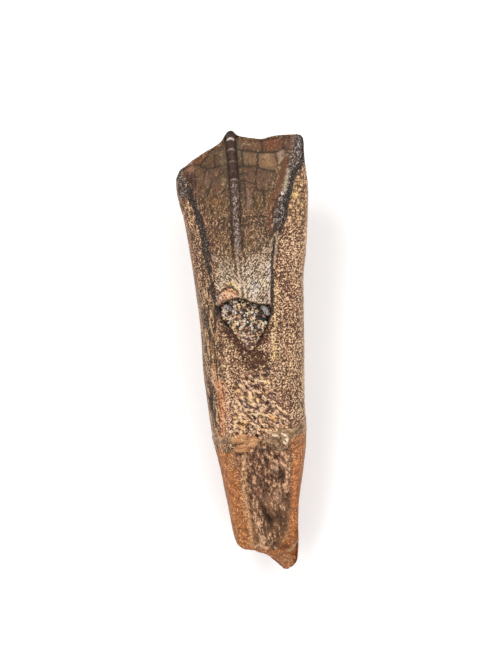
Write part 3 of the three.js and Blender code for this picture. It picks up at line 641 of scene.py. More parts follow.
CREAM_WALLS = [
    [(-2.05, -3.15), (-1.6, -3.3), (-1.3, -3.5), (-0.85, -3.9)], [(-1.45, -2.6), (-1.3, -3.1)],
    [(-1.05, -2.4), (-0.6, -2.65), (-0.3, -2.85)], [(-0.95, -3.0), (-0.75, -3.4)],
    [(-2.0, -3.9), (-2.02, -4.6), (-2.1, -5.5)], [(0.25, -3.05), (0.7, -3.05), (0.95, -3.25)],
    [(1.0, -3.5), (1.5, -3.95), (1.9, -4.3), (2.2, -4.85)], [(-0.35, -3.9), (0.5, -4.15)],
    [(-0.55, -4.2), (-0.5, -4.5)], [(0.0, -5.2), (0.4, -5.6), (0.75, -5.85)], [(-1.6, -5.3), (-1.6, -5.6)],
    [(0.3, -6.0), (0.15, -6.8), (0.3, -7.2), (0.8, -7.4)], [(1.9, -6.5), (2.2, -6.7), (2.5, -7.0)],
    [(-2.5, -5.8), (-2.3, -6.4)], [(1.4, -6.65), (1.7, -6.7)], [(1.1, -7.0), (1.4, -7.4), (1.65, -7.9)],
    [(-0.1, -8.4), (0.35, -8.6), (0.7, -8.85)], [(1.3, -8.4), (1.55, -8.4)],
]
# The deep places are sunk and darkened, the darkening being painted shade.
DEEP_SPOTS = [  # (x, y, half width, half height) of deep dark places
    (-1.75, -7.0, 0.17, 0.15), (-0.35, -6.6, 0.13, 0.25), (-0.1, -3.6, 0.22, 0.12), (0.35, -4.7, 0.16, 0.3),
    (-0.25, -4.95, 0.2, 0.14), (2.15, -5.55, 0.16, 0.16), (-2.1, -6.15, 0.12, 0.2), (0.6, -3.35, 0.14, 0.14),
    (-1.75, -3.55, 0.13, 0.16), (-0.7, -5.6, 0.14, 0.12), (1.9, -6.4, 0.3, 0.09), (0.4, -8.1, 0.16, 0.2),
    (0.3, -10.9, 0.35, 0.28), (0.1, -13.5, 0.25, 0.5), (0.55, -13.75, 0.25, 0.15), (1.8, -12.3, 0.2, 0.7),
    (0.9, -9.4, 0.14, 0.2), (1.55, -9.8, 0.16, 0.16), (-2.2, -10.0, 0.45, 0.1), (1.6, -10.5, 0.25, 0.16),
    (2.4, -14.7, 0.2, 0.7), (-1.25, -12.4, 0.16, 0.3),
]
# The recess and the valleys are sunk and darkened with painted shade.
RECESS = [(-0.3, -14.9), (-0.15, -15.4), (0.05, -16.0), (0.35, -16.6)]
VALLEYS = [[(-1.4, -12.5), (-1.35, -14.5), (-1.25, -17.0), (-1.15, -18.9)], [(0.35, -16.2), (0.6, -17.2)]]
LOW_RECESS = [(1.4, -15.9), (1.55, -16.7), (1.5, -17.6)]
LOWER_LIP = [(0.7, -19.25), (1.16, -19.6), (1.88, -19.7), (2.4, -19.5), (2.68, -19.15), (2.95, -18.7)]
UNDER_LIP = [(0.7, -18.9), (1.3, -19.2), (2.0, -19.2)]
HAIR_LINE = [(-0.05, -16.6), (0.1, -17.8), (0.3, -18.7), (0.85, -19.3)]
CRUST_RELIEF = 0.2
LUMP_RELIEF = 0.16
RECESS_DEPTH = 0.14
LOWER_LIP_RISE = 0.06
UNDER_LIP_DEPTH = 0.05
WALL_BUMP_RISE = 0.015


def groove_at(across, along):
    """1 in the middle of the broad groove down the root, falling to nothing at its sides."""
    from_middle = (across - curve(GROOVE_LINE)(along)) / GROOVE_HALF_WIDTH
    return hump(from_middle**2, 1.0) * (1 - step(along, -5, 0.5))


def between(left, right, fade=0.5):
    """1 between two lines of (y, x) points, on the front."""
    from_line, to_line = wx - curve(left)(wy), curve(right)(wy) - wx
    return step(from_line, -fade / 2, fade / 2) * step(to_line, -fade / 2, fade / 2) * front


wx, wy = x + 0.22 * shift_x, y + 0.3 * shift_y
below_break = curve(BREAK_LINE)(x) - y
sunk = GROOVE_DEPTH * groove_at(x, y) * front
crust = between(CRUST_LEFT, CRUST_RIGHT, 0.8) * (1 - step(wy, -2.7, -1.9)) * step(-below_break, -0.5, 0.0)
channel = between(CHANNEL_LEFT, CHANNEL_RIGHT, 1.2) * step(below_break, 0, 0.5) * step(to_root, 0.0, 0.3)
lump_near, lump_next, lump_lot = cells((0.48, 0.6, 0.5), 13)
lumps = 1 - step(lump_near, 0.08, 0.62)
lump_gaps = 1 - step(lump_next - lump_near, 0.04, 0.4)
walls = near_lines(CREAM_WALLS, 0.11) * front * step(jitter_x + 0.7 * jitter_y, -0.7, 0.3)
deeps = front * sum(oval(*place) for place in DEEP_SPOTS)
cream_lumps = near_lines(CREAM_LUMPS, 0.2) * front * step(jitter_x + jitter_y, -1.0, 0.0)
ridges = near_lines([LEFT_RIDGE, MIDDLE_RIDGE], 0.32) * front
recess = 1.2 * near_lines([RECESS], 0.26) + 0.2 * near_lines([LOW_RECESS], 0.4)
recess = recess * step(0.5 * jitter_x + shift_x, -1.4, -0.2) * front
striae = mottle((0.24, 0.85, 0.4), 4, 17)
crust_noise = mottle((0.35, 0.45, 0.35), 3, 15)
crust_ridges = 1 - 4.5 * np.abs(mottle((0.5, 0.62, 0.5), 2, 26))
# Lumps and walls stand up and gaps and deep places sink; the same amounts make the crust lighter on top and
# darker in its gaps, as painted light and shade.
crust_height = 0.5 * (lumps - 0.45) - 0.45 * lump_gaps + 0.5 * (crust_ridges - 0.2)
crust_height += 0.3 * crust_noise + 0.4 * (lump_lot - 0.4)
crust_height = crust_height * (1 - walls) + 1.6 * walls - 1.7 * np.clip(deeps, 0, 1)
relief += crust * CRUST_RELIEF * crust_height
upper = step(y, -15.5, -12.5)
# Lumps, ridges and pale lumps are lighter and deep places, the recess and valleys darker: partly the root's
# own colour, partly painted light and shade; these amounts also raise and sink the surface.
channel_light = 1.0 * (lumps - 0.4) * upper - 0.4 * lump_gaps * upper + 0.5 * striae + 0.45 * ridges
channel_light += 1.9 * cream_lumps - 1.3 * deeps - 0.8 * recess - 1.1 * near_lines(VALLEYS, 0.17) * front
channel_light += 0.5 * (warts - 0.4) * ridges + 0.1 * near_lines([MIDDLE_RIDGE], 0.3) * front
relief += channel * LUMP_RELIEF * channel_light - RECESS_DEPTH * recess
lower_lip = near_lines([LOWER_LIP], 0.1) * step(z, 3.0, 4.0) * ~on_root_end
under_lip = near_lines([UNDER_LIP], 0.2) * front
relief += LOWER_LIP_RISE * lower_lip - UNDER_LIP_DEPTH * under_lip
lips = np.clip(lips + 0.8 * lower_lip + 0.2 * near_lines([HAIR_LINE], 0.06) * front, 0, 1)
tip = front * (1 - step(y, -19.6, -19.0))
sides = (1 - front) * ~on_root_end * ~on_wear

orange = (front * (1 - channel) + 0.8 * sides) * step(below_break + 0.3 * shift_x, 0.3, 1.2)
wall_bumps = mottle((0.3, 0.34, 0.3), 3, 18)
relief += WALL_BUMP_RISE * orange * wall_bumps

# ------------------------------------------------------------------------------------------
# Damage along the edges, the wear face, the broken root end, and the sides and back, which are
# plainer: fine ribs along the tooth, a few flakes, and facets where neighbours stood.

NOTCHES = [  # x, y, half width and half height of nicks in both edges
    (-4.5, -5.0, 0.24, 0.75), (-4.35, -4.1, 0.18, 0.4), (4.3, -5.55, 0.2, 0.26), (4.25, -3.7, 0.12, 0.4),
]
NOTCH_DEPTH = 0.08
RIB_RISE = 0.05
SIDE_GRAIN_RISE = 0.02
PORE_DEPTH = 0.05
BREAK_RELIEF = 0.25
BREAK_LUMP_RISE = 0.06
SCRATCH_DEPTH = 0.02
EDGE_BLUNTING = 0.06

notch = sum(oval(*place) for place in NOTCHES)
notch = step(notch + 0.15 * jitter_x, 0.35, 0.7) * (z > 3.5)
relief -= NOTCH_DEPTH * notch
edge = front * (1 - step(to_crown + 0.12 * jitter_x, 0.1, 0.55))
ribs = mottle((0.5, 4.0, 0.5), 4, 19)
pores = 1 - step(cells((0.6, 0.9, 0.6), 20)[0], 0.06, 0.22)
side_light = 0.6 * ribs + 0.5 * (grains - 0.45) - 0.7 * pores
side_relief = RIB_RISE * ribs + SIDE_GRAIN_RISE * (grains - 0.45) - PORE_DEPTH * pores
relief += sides * side_relief * step(z, 0.02, 0.4)
break_noise = mottle(0.9, 4, 21)
relief += on_root_end * (BREAK_RELIEF * break_noise + BREAK_LUMP_RISE * (lumps - 0.4))
scratches = mottle((0.25, 3.0, 3.0), 3, 22)
relief += SCRATCH_DEPTH * on_wear * scratches
blunt = hump(np.minimum(to_crown, to_root), 0.12) * ~on_root_end * ~on_wear
relief -= EDGE_BLUNTING * blunt

# ------------------------------------------------------------------------------------------
# The tooth is put together here, and painted with what its finish needs to know: how much of
# each kind of surface every point is, how light or dark it is, partly as painted light and shade
# on its relief, and how grainy it is.

SHADES = [  # x, y, half width, half height, and how much lighter or darker a broad place is
    (-0.6, 6.4, 0.4, 0.4, -0.3), (0.6, 7.6, 0.4, 0.6, -0.3), (2.8, 8.4, 0.9, 0.6, -0.35),
    (-0.3, 9.4, 0.4, 0.5, 0.25), (1.9, 0.0, 0.8, 0.8, 0.4), (-1.6, -2.7, 1.0, 0.5, -0.3),
    (0.5, -3.5, 0.9, 0.4, 0.35), (3.8, -7.5, 1.0, 0.4, -0.4), (2.6, -10.4, 1.2, 0.8, 0.4),
    (2.4, -14.3, 0.7, 0.7, -0.45), (1.1, -16.2, 0.4, 0.5, -0.5), (-3.3, -8.4, 0.6, 0.4, -0.3),
    (2.3, -5.7, 0.4, 0.4, 0.4), (-2.4, 6.3, 0.5, 0.35, -0.4), (0.9, -5.1, 0.4, 0.3, -0.4),
]

light = flank_light * (1 - crust) * (1 - channel) * (1 - fosse) * (1 - orange)
light += crust * (crust_height + 0.2) + channel * channel_light + fosse * (0.5 * fosse_streaks - 0.15)
light += sides * side_light + 0.5 * coarse + orange * (0.5 * wall_bumps - 0.04)
low_left = (1 - on_right) * (1 - step(y, -2, 2))
# Painted light: the right flank is made lighter, as if lit from the right.
light += plain_flank * (0.35 * on_right + 0.4 * low_left - 0.25)
light += 0.6 * keel_low * (warts - 0.3) + 0.15 * enamel * (1 - keel) * wrinkles
# The first term is a painted highlight along each small step on the keel's top.
light += 2.0 * keel_steps_and_highlights + 0.9 * streaks - 1.7 * furrows
light += 0.4 * on_wear * scratches + 0.4 * on_root_end * break_noise
light += 0.7 * chip * (0.2 + mottle((0.7, 0.16, 0.3), 2, 25))
# Painted light on the right side wall from above the old break upwards, as if lit from the right.
lit_right_side = step(x, 3.0, 4.0) * step(y, -9.0, -6.0) * sides * step(facing, -0.3, 0.1)
light += 0.6 * lit_right_side - 0.5 * flank * step(-x, 4.0, 4.5) * step(-y, 1, 3)
light += front * sum(much * oval(*place) for *place, much in SHADES)
light = light / (1 + 0.3 * np.abs(light)) * (1 - 0.7 * calm)

contrast = 1.15 - 0.55 * coarse - 0.5 * chip - 0.62 * orange * (1 - crust) - 0.7 * fosse - 0.4 * sides
contrast -= enamel * (1 - seam) * (0.8 - 0.75 * pale - 0.45 * (1 - step(y, 10, 17.5)))
contrast += 0.5 * keel_low * (1 - pale) - 0.3 * (keel - keel_low)
contrast -= channel * (0.55 - 0.5 * upper - 0.35 * ridges)
contrast -= 0.1 * strip + 0.7 * tip + 0.8 * on_root_end + 0.6 * on_wear
contrast *= 1 - 0.6 * calm
# Painted shade darkens the hollow and its rim, the recess, the nicks, the groove under the lower lip and the
# foot of the keel. A band along the crown's edge and the chip's upper edge are darkened too.
dark = hollow + 0.35 * recess + 0.75 * notch + 0.85 * edge + 0.5 * under_lip + 0.9 * keel_sides
dark = np.clip(dark + 0.5 * hollow_edge + 0.7 * chip_edge * step(fy, 5.2, 5.6), 0, 1)


def piece_of(name, places, faces):
    """A smooth piece in the scene, from places in millimetres."""
    piece = bpy.data.objects.new(name, mesh_of(name, places, faces))
    scene.collection.objects.link(piece)
    return piece


def paint(piece, amounts):
    """Keeps named amounts at every point of a piece, for its finish to read."""
    for name, values in amounts.items():
        attribute = piece.data.attributes.new(name, "FLOAT", "POINT")
        attribute.data.foreach_set("value", np.asarray(values, np.float32))


spots = points + normals * relief[:, None]
spots[:, 2] = np.maximum(spots[:, 2] - sunk, 0)
tooth = piece_of("fossil_tooth", spots, tooth_faces)
paint(tooth, {
    "light": light, "contrast": contrast, "dark": dark, "enamel": enamel, "pale": pale, "keel": keel,
    "crack": crack, "rim": rims * (1 - lips), "strip": strip, "nubs": nubs, "coarse": coarse,
    "fosse": fosse, "crust": crust, "lot": lump_lot, "channel": channel, "orange": np.maximum(orange, tip),
    "lip": lips, "wear": on_wear, "broken": on_root_end, "fibrous": fibrous, "stained": stain_and_light_cover,
    "sides": sides,
})
attribute = tooth.data.attributes.new("stain", "FLOAT_VECTOR", "POINT")
stain_and_light_tint = stain_and_light_tint / np.maximum(stain_and_light_cover, 1e-6)[:, None]
attribute.data.foreach_set("vector", stain_and_light_tint.astype(np.float32).ravel())


class Shade:
    """One socket of a material. Operators on it add Math nodes, and node() adds any other."""

    def __init__(self, tree, socket=None):
        self.tree = tree
        self.socket = socket

    def node(self, kind, settings, inputs, output=0):
        """Adds a node: its settings or a ramp's stops first, then values or links by socket."""
        made = self.tree.nodes.new(kind)
        for name, value in settings.items():
            if name == "stops":
                while len(made.color_ramp.elements) < len(value):
                    made.color_ramp.elements.new(0.5)
                for element, (at, tint) in zip(made.color_ramp.elements, value):
                    element.position = at
                    element.color = tint
            else:
                setattr(made, name, value)
        for key, value in inputs.items():
            if isinstance(value, Shade):
                self.tree.links.new(value.socket, made.inputs[key])
            else:
                made.inputs[key].default_value = value
        return Shade(self.tree, made.outputs[output])

    def math(self, operation, a, b=0.0, c=0.0):
        return self.node("ShaderNodeMath", {"operation": operation}, {0: a, 1: b, 2: c})

    def __add__(self, other):
        return self.math("ADD", self, other)

    def __sub__(self, other):
        return self.math("SUBTRACT", self, other)

    def __rsub__(self, other):
        return self.math("SUBTRACT", other, self)

    def __mul__(self, other):
        return self.math("MULTIPLY", self, other)

    __radd__ = __add__
    __rmul__ = __mul__

    def between(self, low, high):
        """0 below low, 1 above high, and even between."""
        settings = {"clamp": True, "interpolation_type": "SMOOTHSTEP"}
        return self.node("ShaderNodeMapRange", settings, {0: self, 1: low, 2: high, 3: 0.0, 4: 1.0})

    def mix(self, a, b):
        """Colour a where this is 0 and b where it is 1."""
        settings = {"data_type": "RGBA", "clamp_factor": True}
        return self.node("ShaderNodeMix", settings, {0: self, 6: a, 7: b}, 2)

    def ramp(self, *stops):
        return self.node("ShaderNodeValToRGB", {"stops": stops}, {0: self})

    def axis(self, letter):
        return self.node("ShaderNodeSeparateXYZ", {}, {0: self}, letter)

    def noise(self, size, detail=2.0, roughness=0.5):
        """Noise of 0 to 1 with blotches of a size in mm, at this place in mm."""
        inputs = {"Vector": self, "Scale": 1 / size, "Detail": detail, "Roughness": roughness}
        return self.node("ShaderNodeTexNoise", {}, inputs)

    def stretched(self, across, along, deep):
        """This place with its sizes changed, so that a pattern on it is stretched."""
        settings = {"operation": "MULTIPLY"}
        return self.node("ShaderNodeVectorMath", settings, {0: self, 1: (across, along, deep)})

    def bumps(self, strength, depth):
        """A normal for bumps of this height, as deep as depth says in mm."""
        inputs = {"Strength": strength, "Distance": depth * MM, "Height": self}
        return self.node("ShaderNodeBump", {}, inputs)


def new_finish(name):
    """A material, its Principled BSDF, and each point's place in it in millimetres."""
    finish = bpy.data.materials.new(name)
    finish.use_nodes = True
    start = Shade(finish.node_tree)
    place = start.node("ShaderNodeTexCoord", {}, {}, "Object").stretched(1 / MM, 1 / MM, 1 / MM)
    return finish, finish.node_tree.nodes["Principled BSDF"], place


def set_up(bsdf, inputs):
    """Gives a Principled BSDF its inputs: what varies is linked, and the rest is set."""
    for name, value in inputs.items():
        if isinstance(value, Shade):
            value.tree.links.new(value.socket, bsdf.inputs[name])
        else:
            bsdf.inputs[name].default_value = value


def painted(name, output="Fac"):
    """An amount painted on the piece whose finish is being made."""
    return here.node("ShaderNodeAttribute", {"attribute_name": name}, {}, output)


def two_tone(pattern, low, high, first, second):
    """Two colours: the first where a pattern is below low, and the second where it is above high."""
    return pattern.between(low, high).mix(colour(*first), colour(*second))


def ragged_edge(name, low=0.3, high=0.7):
    """A painted amount whose soft edge is broken up into grains."""
    amount = painted(name)
    edge_grains = 0.9 * (small - 0.5) + 0.9 * (fine - 0.5)
    return (amount + amount.between(0.0, 0.15) * edge_grains).between(low, high)


finish, bsdf, here = new_finish("fossil_tooth_finish")
side, height, depth = here.axis("X"), here.axis("Y"), here.axis("Z")


def drawn_out(across, along, degrees):
    """This place for a pattern of a size across, drawn out along a line so far from upright."""
    cos, sin = math.cos(math.radians(degrees)), math.sin(math.radians(degrees))
    over, up = (cos * side + sin * height) * (1 / across), (cos * height - sin * side) * (1 / along)
    return here.node("ShaderNodeCombineXYZ", {}, {0: over, 1: up, 2: depth * (1 / across)})


def embossed(place, across, along, degrees, reach=0.09):
    """Lumps of such a pattern: their height, and how much each point faces up the tooth, which is painted as
    light on the sides facing up and shade on those facing down.
    """
    turn_by = math.radians(degrees)
    shift = (reach * math.sin(turn_by) / across, reach * math.cos(turn_by) / along, 0)
    further = place.node("ShaderNodeVectorMath", {"operation": "ADD"}, {0: place, 1: shift})
    lump = place.noise(1.0, 2.0, 0.55)
    return lump, lump - further.noise(1.0, 2.0, 0.55)


speck = drawn_out(0.13, 0.13, 31).noise(1.0, 1.0)
fine = drawn_out(0.18, 0.18, -24).noise(1.0, 2.0, 0.6)
small = here.noise(0.5, 2.0)
wide = here.noise(2.2, 3.0)
hue = here.stretched(1, 0.6, 1).noise(1.2, 3.0)
fibre = drawn_out(0.19, 1.0, 3).noise(1.0, 2.0, 0.6)
worms = 1.0 - 10.0 * here.math("ABSOLUTE", drawn_out(0.3, 0.3, 52).noise(1.0, 1.0) - 0.5)
dots = here.node("ShaderNodeTexVoronoi", {}, {"Vector": here, "Scale": 3.6}, "Distance")
dot_lots = Shade(here.tree, dots.socket.node.outputs["Color"])
flecks = 3.8 * (0.42 - dots) * (dot_lots + 0.3) + 1.0 * (dot_lots - 0.5)
from_keel = side.math("ABSOLUTE", side + 0.75)
fan_across, fan_along = 0.8 * from_keel - 0.6 * height, 0.6 * from_keel + 0.8 * height
fan_place = here.node("ShaderNodeCombineXYZ", {}, {0: fan_across, 1: 0.22 * fan_along, 2: 0.0})
wrinkle = fan_place.noise(0.12, 2.0, 0.6)
stroke = drawn_out(0.2, 0.8, -27).noise(1.0, 2.0, 0.6)
thread = drawn_out(0.15, 0.36, -8).noise(1.0, 1.0)
maze = 1.0 - 9.0 * here.math("ABSOLUTE", fan_place.noise(0.2, 1.0) - 0.5)
crust_lump, crust_painted_lighting = embossed(drawn_out(0.34, 0.58, 38), 0.34, 0.58, 38, 0.11)
rib_lump, rib_painted_lighting = embossed(drawn_out(0.24, 0.8, 8), 0.24, 0.8, 8)


def blend(share, a, b):
    return a + share * (b - a)


plain_grain = 2.4 * (fine - 0.5) + 9.0 * (speck - 0.5) + 0.5 * (worms - 0.1) + 0.65 * flecks
fibre_grain = 5.4 * (fibre - 0.5) + 2.0 * (fine - 0.5) + 4.5 * (speck - 0.5) + 0.3 * (worms - 0.1)
fan_grain = 5.0 * (wrinkle - 0.5) + 0.9 * (maze - 0.15) + 1.0 * (fine - 0.5) + 6.5 * (speck - 0.5)
enamel_grain = 4.4 * (stroke - 0.5) + 4.0 * (thread - 0.5) + 1.8 * (fine - 0.5) + 6.0 * (speck - 0.5)
# The lighting terms paint light on the lumps' upper sides and shade on their lower ones.
crust_grain = 9.0 * crust_painted_lighting + 4.6 * (crust_lump - 0.5) + 2.4 * (speck - 0.5) + 1.0 * (fine - 0.5)
rib_grain = 7.0 * rib_painted_lighting + 4.4 * (rib_lump - 0.5) + 2.4 * (speck - 0.5) + 1.6 * (fine - 0.5)
grain = blend(painted("fibrous") + 0.7 * painted("sides"), plain_grain, fibre_grain)
for zone, zone_grain in (
    ("enamel", enamel_grain), ("pale", fan_grain), ("channel", rib_grain), ("crust", crust_grain),
):
    grain = blend(painted(zone), grain, zone_grain)

flank_tint = two_tone(hue, 0.4, 0.6, (152, 110, 83), (168, 117, 90))
fibre_tint = two_tone(0.6 * hue + 0.4 * fibre, 0.42, 0.6, (88, 69, 55), (134, 98, 71))
flank_tint = painted("fibrous").mix(flank_tint, fibre_tint)
cobble_tint = two_tone(small, 0.3, 0.7, (184, 140, 106), (220, 172, 124))
flank_tint = ragged_edge("coarse").mix(flank_tint, cobble_tint)
side_tint = two_tone(here.stretched(1, 0.25, 1).noise(1.1, 3.0), 0.38, 0.62, (112, 82, 60), (164, 120, 86))
dark_patches = here.stretched(1, 0.5, 1).noise(3.2, 4.0).between(0.52, 0.66)
side_tint = dark_patches.mix(side_tint, colour(104, 74, 56))
warm_patches = here.stretched(1, 0.4, 1).noise(2.6, 4.0).between(0.42, 0.32)
side_tint = warm_patches.mix(side_tint, colour(186, 132, 88))
flank_tint = painted("sides").mix(flank_tint, side_tint)
orange_tint = two_tone(small, 0.3, 0.7, (138, 84, 47), (178, 111, 67))
crust_tint = (painted("lot") + 0.5 * (small - 0.5)).ramp(
    (0.05, colour(172, 126, 102)), (0.25, colour(190, 150, 136)), (0.45, colour(216, 160, 106)),
    (0.62, colour(150, 126, 118)), (0.8, colour(194, 150, 132)), (0.95, colour(230, 184, 130)),
)
channel_tint = two_tone(hue, 0.4, 0.6, (142, 102, 75), (126, 87, 64))
channel_tint = height.between(-16.5, -14.0).mix(colour(102, 69, 44), channel_tint)
channel_share = painted("channel") + 0.6 * (small - 0.5) + 0.6 * (fine - 0.5)
fosse_tint = fine.mix(colour(68, 39, 26), colour(108, 67, 45))
enamel_tint = two_tone(hue, 0.42, 0.6, (88, 66, 48), (104, 74, 54))
enamel_tint = wide.between(0.47, 0.62).mix(enamel_tint, colour(104, 78, 50))
enamel_tint = (0.35 * height.between(15.5, 18.0)).mix(enamel_tint, colour(80, 54, 38))
pale_tint = two_tone(side, -1.2, 0.2, (138, 112, 84), (152, 128, 105))
enamel_tint = painted("pale").mix(enamel_tint, pale_tint)
nub_tint = two_tone(small, 0.3, 0.7, (70, 58, 51), (112, 93, 82))
strip_tint = fibre.mix(colour(82, 54, 40), colour(120, 76, 52))
keel_tint = two_tone(0.5 * fine + 0.5 * small, 0.4, 0.62, (50, 38, 34), (80, 60, 52))
keel_tint = height.between(15.9, 16.5).mix(colour(88, 70, 63), keel_tint)
keel_tint = height.between(9.5, 12.0).mix(colour(140, 122, 112), keel_tint)
wear_tint = two_tone(here.stretched(1, 0.3, 0.3).noise(0.7, 3.0), 0.35, 0.65, (118, 88, 64), (158, 120, 86))

tint = painted("orange").mix(flank_tint, orange_tint)
tint = ragged_edge("crust").mix(tint, crust_tint)
tint = channel_share.between(0.1, 0.9).mix(tint, channel_tint)
tint = ragged_edge("fosse").mix(tint, fosse_tint)
tint = painted("enamel").mix(tint, enamel_tint)
tint = ragged_edge("nubs").mix(tint, nub_tint)
tint = ragged_edge("strip").mix(tint, strip_tint)
tint = painted("keel").mix(tint, keel_tint)
tint = painted("broken").mix(tint, colour(176, 113, 70))
tint = painted("wear").mix(tint, wear_tint)
stained = painted("stained") + 0.4 * (small - 0.5) + 0.4 * (fine - 0.5)
tint = stained.between(0.1, 0.9).mix(tint, painted("stain", "Color"))

PALEST_GRAINS_AND_GLINTS = {
    "enamel": (194, 154, 118), "pale": (230, 208, 182), "keel": (182, 158, 146),
    "fibrous": (218, 178, 138), "channel": (226, 180, 142), "orange": (240, 174, 112),
    "crust": (252, 217, 170), "nubs": (182, 168, 156),
}
cream = colour(246, 212, 168)
for zone, palest in PALEST_GRAINS_AND_GLINTS.items():
    cream = painted(zone).mix(cream, colour(*palest))
# Low signal darkens towards brown-black and high signal turns to the palest grain colour: the grains' own
# speckle, with painted shade in pits and painted glints on tops.
signal = painted("light") + painted("contrast") * grain
darkening = (0.84 - 0.46 * painted("orange")) * (1.0 - signal.between(-1.1, 0.05))
tint = darkening.mix(tint, colour(50, 36, 29))
tint = (0.86 * signal.between(0.15, 1.15)).mix(tint, cream)
rim_tint = two_tone(0.5 * fine + 0.5 * speck, 0.53, 0.7, (38, 33, 31), (132, 116, 108))
tint = (0.92 * ragged_edge("rim", 0.25, 0.55)).mix(tint, rim_tint)
# The pale lips; on the right rim's thin ridge this pale line is a painted highlight.
tint = (painted("lip") * (0.5 + 0.8 * small)).mix(tint, colour(196, 178, 146))
tint = (0.82 * painted("crack").between(0.15, 0.85)).mix(tint, colour(50, 39, 31))
# The dark amount: painted shade in the hollow, the recess, the nicks and beside the keel, and darkening
# along the crown's edge and the chip's top.
tint = painted("dark").mix(tint, colour(46, 36, 30))

set_up(bsdf, {
    "Base Color": tint,
    "Roughness": 0.46 + 0.3 * (fine - 0.5) - 0.12 * painted("enamel") + 0.3 * painted("dark"),
    "Normal": (0.6 * fine + 0.4 * speck + 0.3 * grain).bumps(0.7, 0.06),
    "Specular IOR Level": 0.16,
})
tooth.data.materials.append(finish)
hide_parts("tooth")
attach(tooth, "root")

# ------------------------------------------------------------------------------------------
# The sandstone left in the hollow: a bed of dark cemented silt, over it sand grains of cream,
# tan, pink and grey, scattered and half sunk, and two bigger chips of grey bone. The rock itself
# grips the walls of the hollow, and nothing else holds it.

SAND_OUTLINE = [  # (x, y) round the bed
    (0.0, -0.05), (0.4, 0.5), (0.75, 1.1), (1.05, 1.8), (1.35, 2.5), (1.7, 3.2), (1.8, 3.9),
    (1.2, 4.25), (0.0, 4.55), (-0.6, 4.9), (-1.4, 5.0), (-2.4, 4.75), (-3.0, 4.3), (-2.85, 3.5),
    (-2.3, 2.9), (-1.95, 2.2), (-1.6, 1.4), (-1.2, 0.6), (-0.9, 0.05), (-0.4, -0.1),
]
BED_TOP = 8.9
BED_SIDE = 0.35  # how far the bed's top drops at its edge
BED_BOTTOM = 8.2
BED_RINGS = 16
BED_AROUND = 120
GRAIN_SPACING = 0.2
GRAIN_SIZES = (0.07, 0.22)  # half sizes
VOID = (0.9, 3.8, 8.9)  # the middle of a bare dark patch of the bed, and how far it reaches
VOID_REACH = 1.5
CHIPS = [  # x, y, half length, half width, turn, of the bone chips on the sand
    (1.4, 3.72, 0.62, 0.24, -55), (-2.2, 4.2, 0.42, 0.24, -35),
]
CHIP_THICKNESS = 0.16
CHIP_ROWS = 12
CHIP_AROUND = 24
CHIP_BOXINESS = 0.7

corner_points = np.array(SAND_OUTLINE)
share = np.arange(BED_AROUND) / BED_AROUND * len(corner_points)
first, part = share.astype(int), (share % 1)[:, None]
loop = corner_points[first] * (1 - part) + corner_points[(first + 1) % len(corner_points)] * part
centre = loop.mean(axis=0)
reach = np.linspace(0, 1, BED_RINGS + 1)[1:, None, None]
top_ring = centre + (loop - centre) * reach
swells = noise_at(np.dstack([1.6 * top_ring, np.full(top_ring.shape[:2], 5.0)]).reshape(-1, 3), 3)
top_z = BED_TOP + 0.16 * swells.reshape(BED_RINGS, BED_AROUND) - BED_SIDE * reach[:, :, 0] ** 4
top_ring = np.concatenate([top_ring, top_z[..., None]], axis=-1)
under = top_ring.copy()
under[..., 2] = BED_BOTTOM
bed_rings = np.concatenate([under, top_ring[::-1]])
bed_poles = [[*centre, BED_BOTTOM], [*centre, BED_TOP]]
bed_points = np.concatenate([bed_rings.reshape(-1, 3), bed_poles])
bed_faces = [tuple(reversed(f)) for f in tube_faces(len(bed_rings), BED_AROUND)]
bed = piece_of("sand_bed", bed_points, bed_faces)

sand_finish, sand_bsdf, here = new_finish("sandstone_finish")
grain_tint = painted("grain").ramp(
    (0.0, colour(24, 17, 14)), (0.02, colour(184, 140, 112)), (0.16, colour(230, 208, 170)),
    (0.3, colour(100, 80, 66)), (0.42, colour(210, 190, 172)), (0.54, colour(160, 116, 94)),
    (0.68, colour(232, 196, 146)), (0.82, colour(58, 44, 38)), (0.92, colour(230, 214, 194)),
)
grain_tint.socket.node.color_ramp.interpolation = "CONSTANT"
side, height = here.axis("X"), here.axis("Y")
grain_tint = (0.3 * height.between(2.6, 0.6)).mix(grain_tint, colour(168, 112, 92))
shaded_corner = side.between(0.0, 1.0) * height.between(2.9, 3.7)
grain_tint = (0.65 * shaded_corner).mix(grain_tint, colour(60, 48, 42))
silt = here.noise(0.16, 3.0)
set_up(sand_bsdf, {
    "Base Color": silt.between(0.36, 0.48).mix(colour(44, 30, 24), grain_tint),
    "Roughness": 0.5 + 0.3 * silt,
    "Normal": silt.bumps(0.6, 0.05),
})


